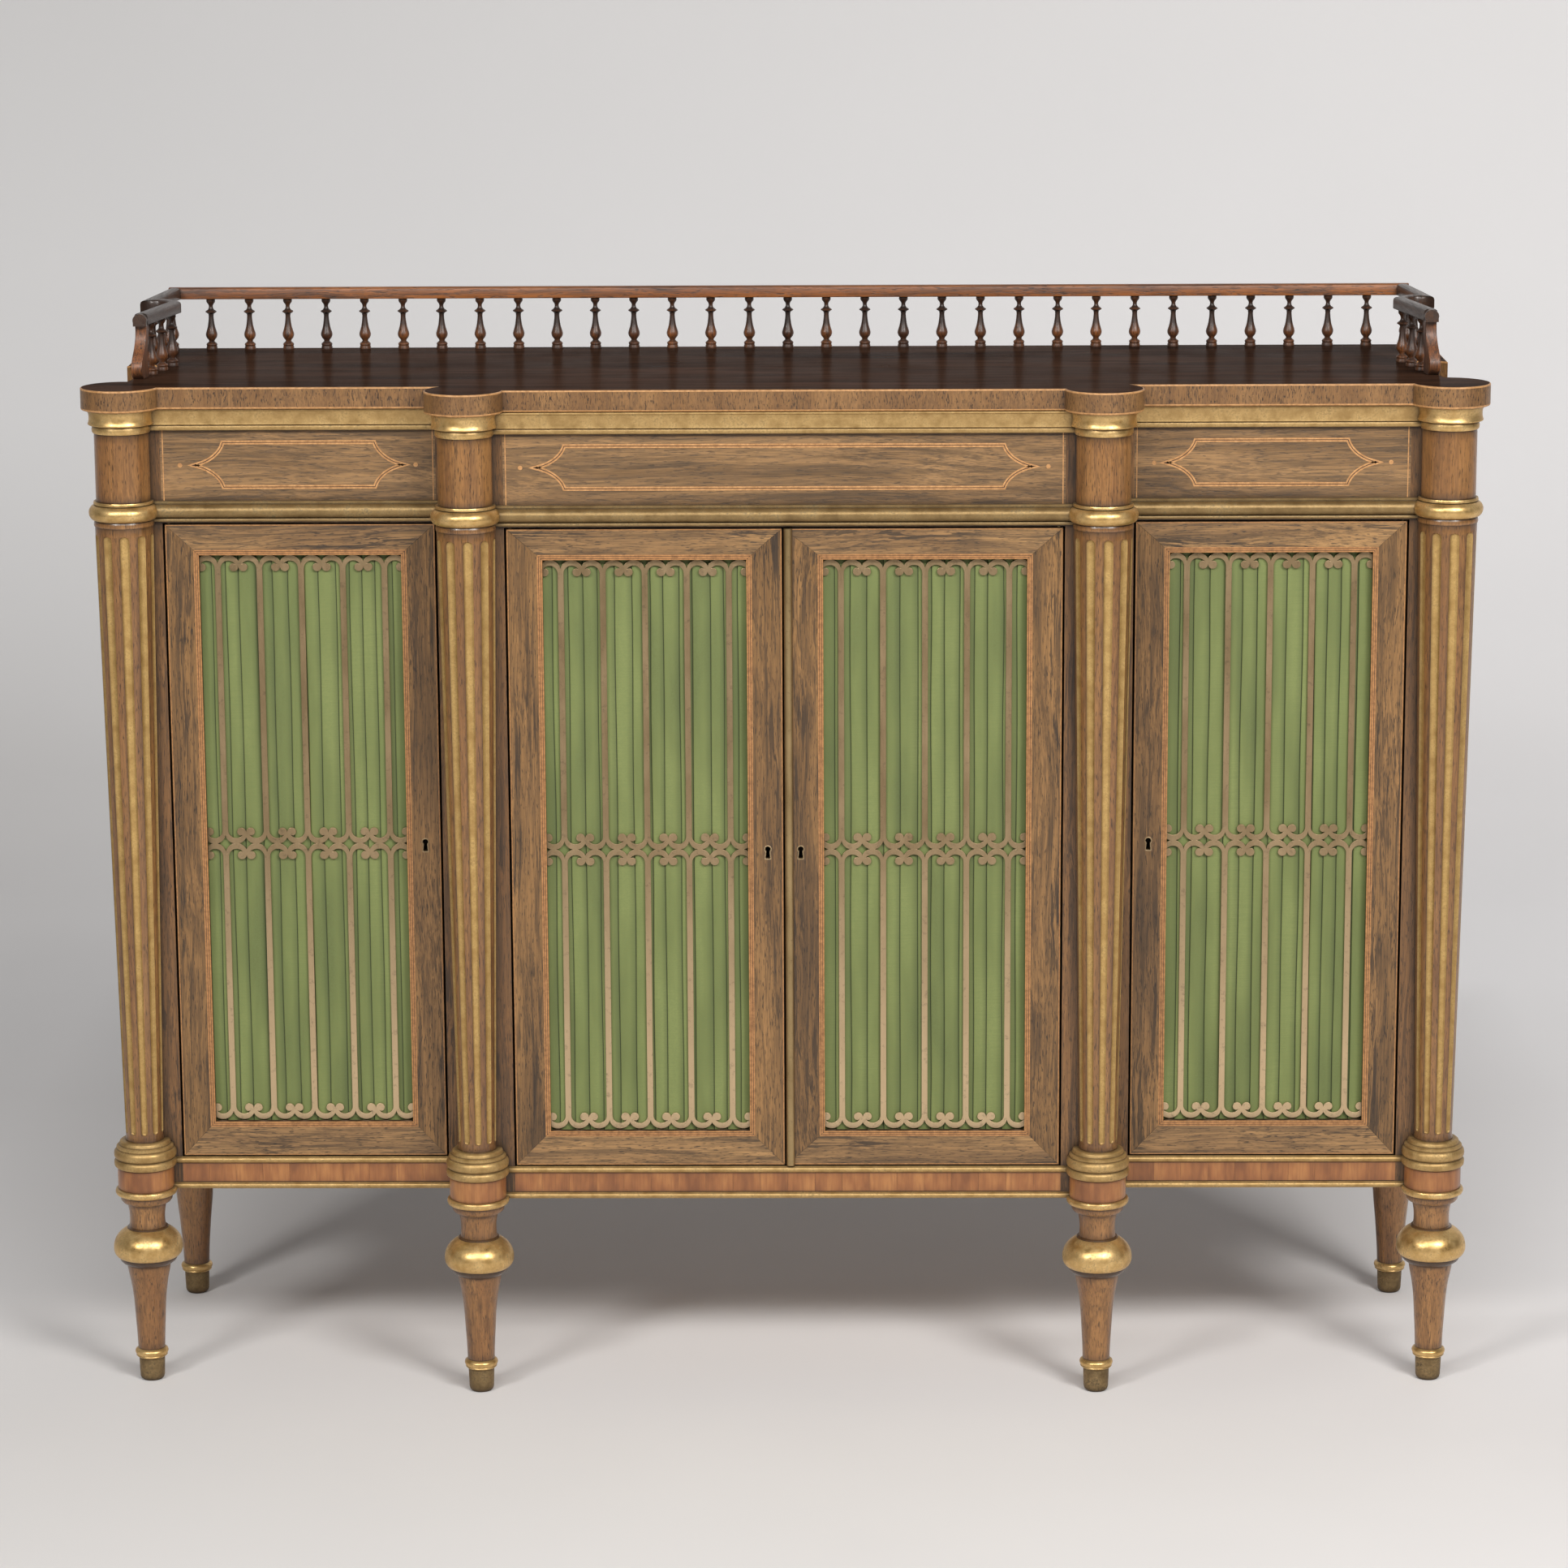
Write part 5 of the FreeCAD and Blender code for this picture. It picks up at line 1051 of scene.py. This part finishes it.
# ---- gallery
# third values: painted shade, growing up the shaft towards the rail and at the joints
SPINDLE = ([(6.1, 1079, 0.5), (6.1, 1081.2, 0.1), (5.6, 1082.3, 0.5), (5.7, 1083.2, 0.1),
        (6.1, 1084.2), (5.6, 1085.4, 0.2), (4.2, 1086.4, 0.6), (3, 1087.8, 0.6), (3.3, 1088.8, 0.2)]
        + [(r, z, max(0, min(0.8, (z - 1095) * 0.07))) for r, z in smooth(
        [(3.6, 1089.4), (5.4, 1091.6), (6.3, 1094.2), (6.2, 1096.6), (5.2, 1099.8),
        (4.2, 1103.2), (3.5, 1107), (2.9, 1112), (2.7, 1115.4)], 2)]
        + [(3, 1117.8, 0.9), (4.6, 1119, 0.7), (6, 1119.8, 0.6), (6.1, 1120.6, 0.6),
        (5.2, 1121.4, 0.7), (3.6, 1122.4, 0.9), (2.4, 1124.2, 0.8), (2.2, 1126.6, 0.7),
        (2.8, 1128.4, 0.7), (4.4, 1130.4, 0.7), (4.9, 1131.8, 0.7), (4.8, 1134.8, 0.9)])
RAIL_LOW, RAIL_TOP, RAIL_X, RAIL_BACK, RAIL_WIDE = 1134.5, 1147, 679, 187.6, 13.4
BEND_X, BEND_Y, BEND_WIDE, FRONT_RUN, FRONT_OUT, SHOULDER_X = 662, 61, 30, 114, 20, 692
SPINDLE_Y, SPINDLE_PITCH, SPINDLES = 194.3, 42.25, 33


def rail_stations():
    """The right side rail in plan, back to front: outer and inner point at each place."""
    rows = [((RAIL_X, RAIL_BACK), (RAIL_X - RAIL_WIDE, RAIL_BACK)),
            ((SHOULDER_X, BEND_Y), (SHOULDER_X - RAIL_WIDE, BEND_Y + RAIL_WIDE))]
    for i in range(1, 10):
        t = 1 - i / 10
        x, y = BEND_X + BEND_WIDE * t, BEND_Y + 10.5 * sin(pi * t) ** 0.8
        lean = sin(pi / 2 * min(1, 0.35 + t))
        rows.append(((x, y), (x - 7 - 6.4 * t, y + RAIL_WIDE * lean)))
    for t in (0, 0.5, 1):
        x, y = BEND_X + FRONT_OUT * t, BEND_Y - FRONT_RUN * t
        rows.append(((x, y), (x - 14, y)))
    return rows


def rounded(outer, inner):
    """Section of a rail between two plan points, with softened upper edges."""
    o, i = Vector(outer), Vector(inner)
    d, w = (o - i).normalized(), (o - i).length
    half = [(0.4, RAIL_LOW), (0, RAIL_LOW + 0.6), (0, RAIL_TOP - 3.4), (0.9, RAIL_TOP - 1.3),
            (2.6, RAIL_TOP - 0.3), (4.6, RAIL_TOP)]
    section = half + [(w - u, z) for u, z in half[::-1]]
    return [(i.x + d.x * u, i.y + d.y * u, z) for u, z in section]


def build_gallery():
    s = Shape()
    s.loft([rounded((x, 201), (x, RAIL_BACK)) for x in (-RAIL_X, -200, 200, RAIL_X)], 0, 6)
    s.join(Shape().loft([rounded(o, i) for o, i in rail_stations()], 1, 7).mirror())
    block_x, block_r = 675.5, 7
    outline = arc(block_x, RAIL_TOP - 7, 7.4, 200, -20, 10, block_r)
    outline += [(block_x + way * block_r, RAIL_LOW - 0.5) for way in (1, -1)]
    s.join(Shape().plate(outline, -61, -50.5, 1, 4).mirror())
    s.make("gallery_shaped_rails", "mahogany", ["rail", "rail_dark"], "gallery_rails", bevel=0.5)
    side = [(675 - FRONT_OUT * t, -53 + FRONT_RUN * t) for t in (0.27, 0.58, 0.89)]
    side += [(685.3 - 13 * t, BEND_Y + (RAIL_BACK - BEND_Y) * t) for t in (0.21, 0.49, 0.77)]
    places = [(SPINDLE_PITCH * (k - SPINDLES // 2), SPINDLE_Y) for k in range(SPINDLES)]
    places += side + [(-x, y) for x, y in side]
    s = Shape()
    for i, (x, y) in enumerate(places):
        s.lathe(SPINDLE, x, y, 22, 0.61 * i)
    s.make("gallery_turned_balusters", "mahogany", ["mahogany"], "gallery_spindles")


def build_brackets():
    """Scrolled supports under the side rails' front ends: an S that swells forward low down."""
    front = smooth([(-53.5, 1134.4), (-53, 1128), (-54.5, 1120), (-59, 1111), (-65, 1103),
            (-69.8, 1095), (-71, 1089), (-69.5, 1083.5), (-64.5, TOP_Z)])
    back = smooth([(-50, TOP_Z), (-47, 1083), (-47, 1090), (-49.5, 1097), (-49.5, 1105),
            (-46.5, 1114), (-44.5, 1124), (-44, 1134.4)])
    lean = FRONT_OUT / FRONT_RUN
    rows = [[(x - lean * (y + 53), y, z) for y, z in front + back] for x in (670, 681.5)]
    Shape().loft(rows, 0, 2.2).mirror().make("gallery_scroll_brackets", "mahogany",
            ["mahogany"], "gallery_brackets", bevel=0.8)


# ---- kept CAD nodes
KEPT = dict.fromkeys(("bottom_board", "dust_board", "partitions", "back_panels", "shelves",
        "door_stops"), "carcass")
KEPT.update(stiles="wood_dark", shelf_pegs="brass", hinge_pins="brass")


def dress_kept():
    for door, *_ in DOORS:
        KEPT.update({door + "_beads": "carcass", door + "_lock": "iron", door + "_bolt": "steel"})
    for node, mat in KEPT.items():
        for slot in bpy.data.objects[node].material_slots:
            slot.material = M[mat]


# ---- camera, stage and lights, in metres
def build_camera():
    """The view solved from the photograph: a long lens, a little above, turned slightly."""
    pitch, yaw, roll = (radians(a) for a in (12.065, 0.8366, 0.2939))
    fwd = Vector((0, cos(pitch), -sin(pitch)))
    right = Vector((1, 0, 0))
    spin = Matrix.Rotation(yaw, 3, "Z")
    fwd, right, down = spin @ fwd, spin @ right, spin @ fwd.cross(right)
    level = cos(roll) * right + sin(roll) * down
    plumb = cos(roll) * down - sin(roll) * right
    cam = bpy.data.cameras.new("camera")
    cam.lens, cam.sensor_width, cam.sensor_fit = 112, 36, "HORIZONTAL"
    cam.clip_start, cam.clip_end = 0.1, 100
    obj = new_object("camera", cam)
    m = Matrix((level, -plumb, -fwd)).transposed().to_4x4()
    m.translation = Vector((0.0712, -5.1465, 1.7299))
    obj.matrix_world = m
    bpy.context.scene.camera = obj


def backdrop_material():
    """Grey paper whose faint glow, seen by the camera alone, follows the photograph's backdrop."""
    g = Graph("studio_paper")
    x, y, z = g.place()
    tone = g.mix(g.span(g.cloud(3), 0.3, 0.7), (242, 239, 239), (239, 236, 236))
    tone = g.mix(g.span(z, 0, 2.6), tone, (242, 239, 236))
    # painted shade: the paper darker towards the left
    tone = g.mix(g.span(x, 1.4, -1.6, 0, 0.7), tone, (206, 204, 202))
    rays = g.node("LightPath").node.outputs
    seen = g.larger(rays["Is Camera Ray"],
            g.larger(rays["Is Glossy Ray"], rays["Is Transmission Ray"]))
    # painted light: a glow for camera, glossy and transmission rays brightens floor and wall, kept
    # off the middle behind the cabinet where its shadow lies
    beside = g.larger(g.span(x, 0.6, 1), g.span(x, -0.6, -1))
    clear = g.larger(beside, g.span(y, 0.9, 1.6))
    far = g.math("ADD", g.span(y, 1, 1.6, 0, 0.5), g.span(y, 2, 2.8, 0, -0.5))
    floor = g.times(g.math("ADD", g.span(y, -0.3, 0.15), far), g.span(x, -1.3, 1.4, 0.09, 0.20))
    wall = g.times(g.span(y, 2.7, 3.5), g.span(x, -1.3, 1.4, 0.14, 0.07))
    wall = g.times(wall, g.span(z, 0.8, 1.25, 1, 0.72))
    painted_glow = g.math("ADD", g.times(floor, clear), wall)
    g.set(Base_Color=tone, Roughness=0.9, Specular_IOR_Level=0.1,
          Emission_Color=lin(240, 240, 242), Emission_Strength=g.times(painted_glow, seen))
    # seen from behind, the paper lets the view through to the cabinet
    g.put(g.surface, g.node("MixShader", {0: g.node("NewGeometry", out="Backfacing"),
            1: g.bsdf.outputs[0], 2: g.node("BsdfTransparent")}))
    return g.mat


def build_stage():
    """Floor and wall in one sweep with a round bend."""
    half, bend, bend_y = 9, 1.8, 2.2
    turns = [radians(a) for a in range(6, 91, 6)]
    s = [(y, 0) for y in (-9, -3, 0, bend_y)]
    s += [(bend_y + bend * sin(t), bend - bend * cos(t)) for t in turns]
    s += [(bend_y + bend, 3), (bend_y + bend, 7)]
    verts = [(x, y, z) for y, z in s for x in (-half, half)]
    faces = [(i, i + 1, i + 3, i + 2) for i in range(0, 2 * len(s) - 2, 2)]
    mesh = bpy.data.meshes.new("studio_sweep")
    mesh.from_pydata(verts, [], faces)
    mesh.shade_smooth()
    mesh.materials.append(backdrop_material())
    obj = new_object("studio_sweep", mesh)


def area(name, place, size, power, tint):
    light = bpy.data.lights.new(name, "AREA")
    light.shape, light.size, light.size_y = "RECTANGLE", *size
    light.energy, light.color = power, tint
    obj = new_object(name, light)
    obj.location = place
    aim = Vector((0, 0, 0.5)) - Vector(place)
    obj.rotation_euler = aim.to_track_quat("-Z", "Y").to_euler()


def build_lights():
    area("key", (2.3, -3.6, 3.3), (1.4, 1.4), 112, (1, 0.985, 0.955))
    area("second", (-2.5, -3.6, 2.9), (0.8, 0.8), 72, (1, 0.99, 0.97))
    area("strip", (0.3, -3.7, 3.3), (5, 0.8), 118, (1, 0.99, 0.975))
    world = bpy.data.worlds.new("studio")
    bpy.context.scene.world = world
    world.use_nodes = True
    nodes, links = world.node_tree.nodes, world.node_tree.links
    back = nodes["Background"]
    back.inputs["Color"].default_value = (0.95, 0.97, 1, 1)
    # a dim world for light, a brighter one where the camera sees past the paper
    seen = nodes.new("ShaderNodeMapRange")
    seen.inputs["To Min"].default_value, seen.inputs["To Max"].default_value = 0.13, 0.7
    rays = nodes.new("ShaderNodeLightPath").outputs
    links.new(rays["Is Camera Ray"], seen.inputs["Value"])
    links.new(seen.outputs[0], back.inputs["Strength"])


bpy.context.scene.view_settings.view_transform = "Standard"
build_camera()
build_stage()
build_lights()
build_top()
build_mouldings()
build_frieze()
build_aprons()
build_sides()
build_columns()
build_legs()
build_doors()
build_gallery()
build_brackets()
dress_kept()
bpy.context.view_layer.update()
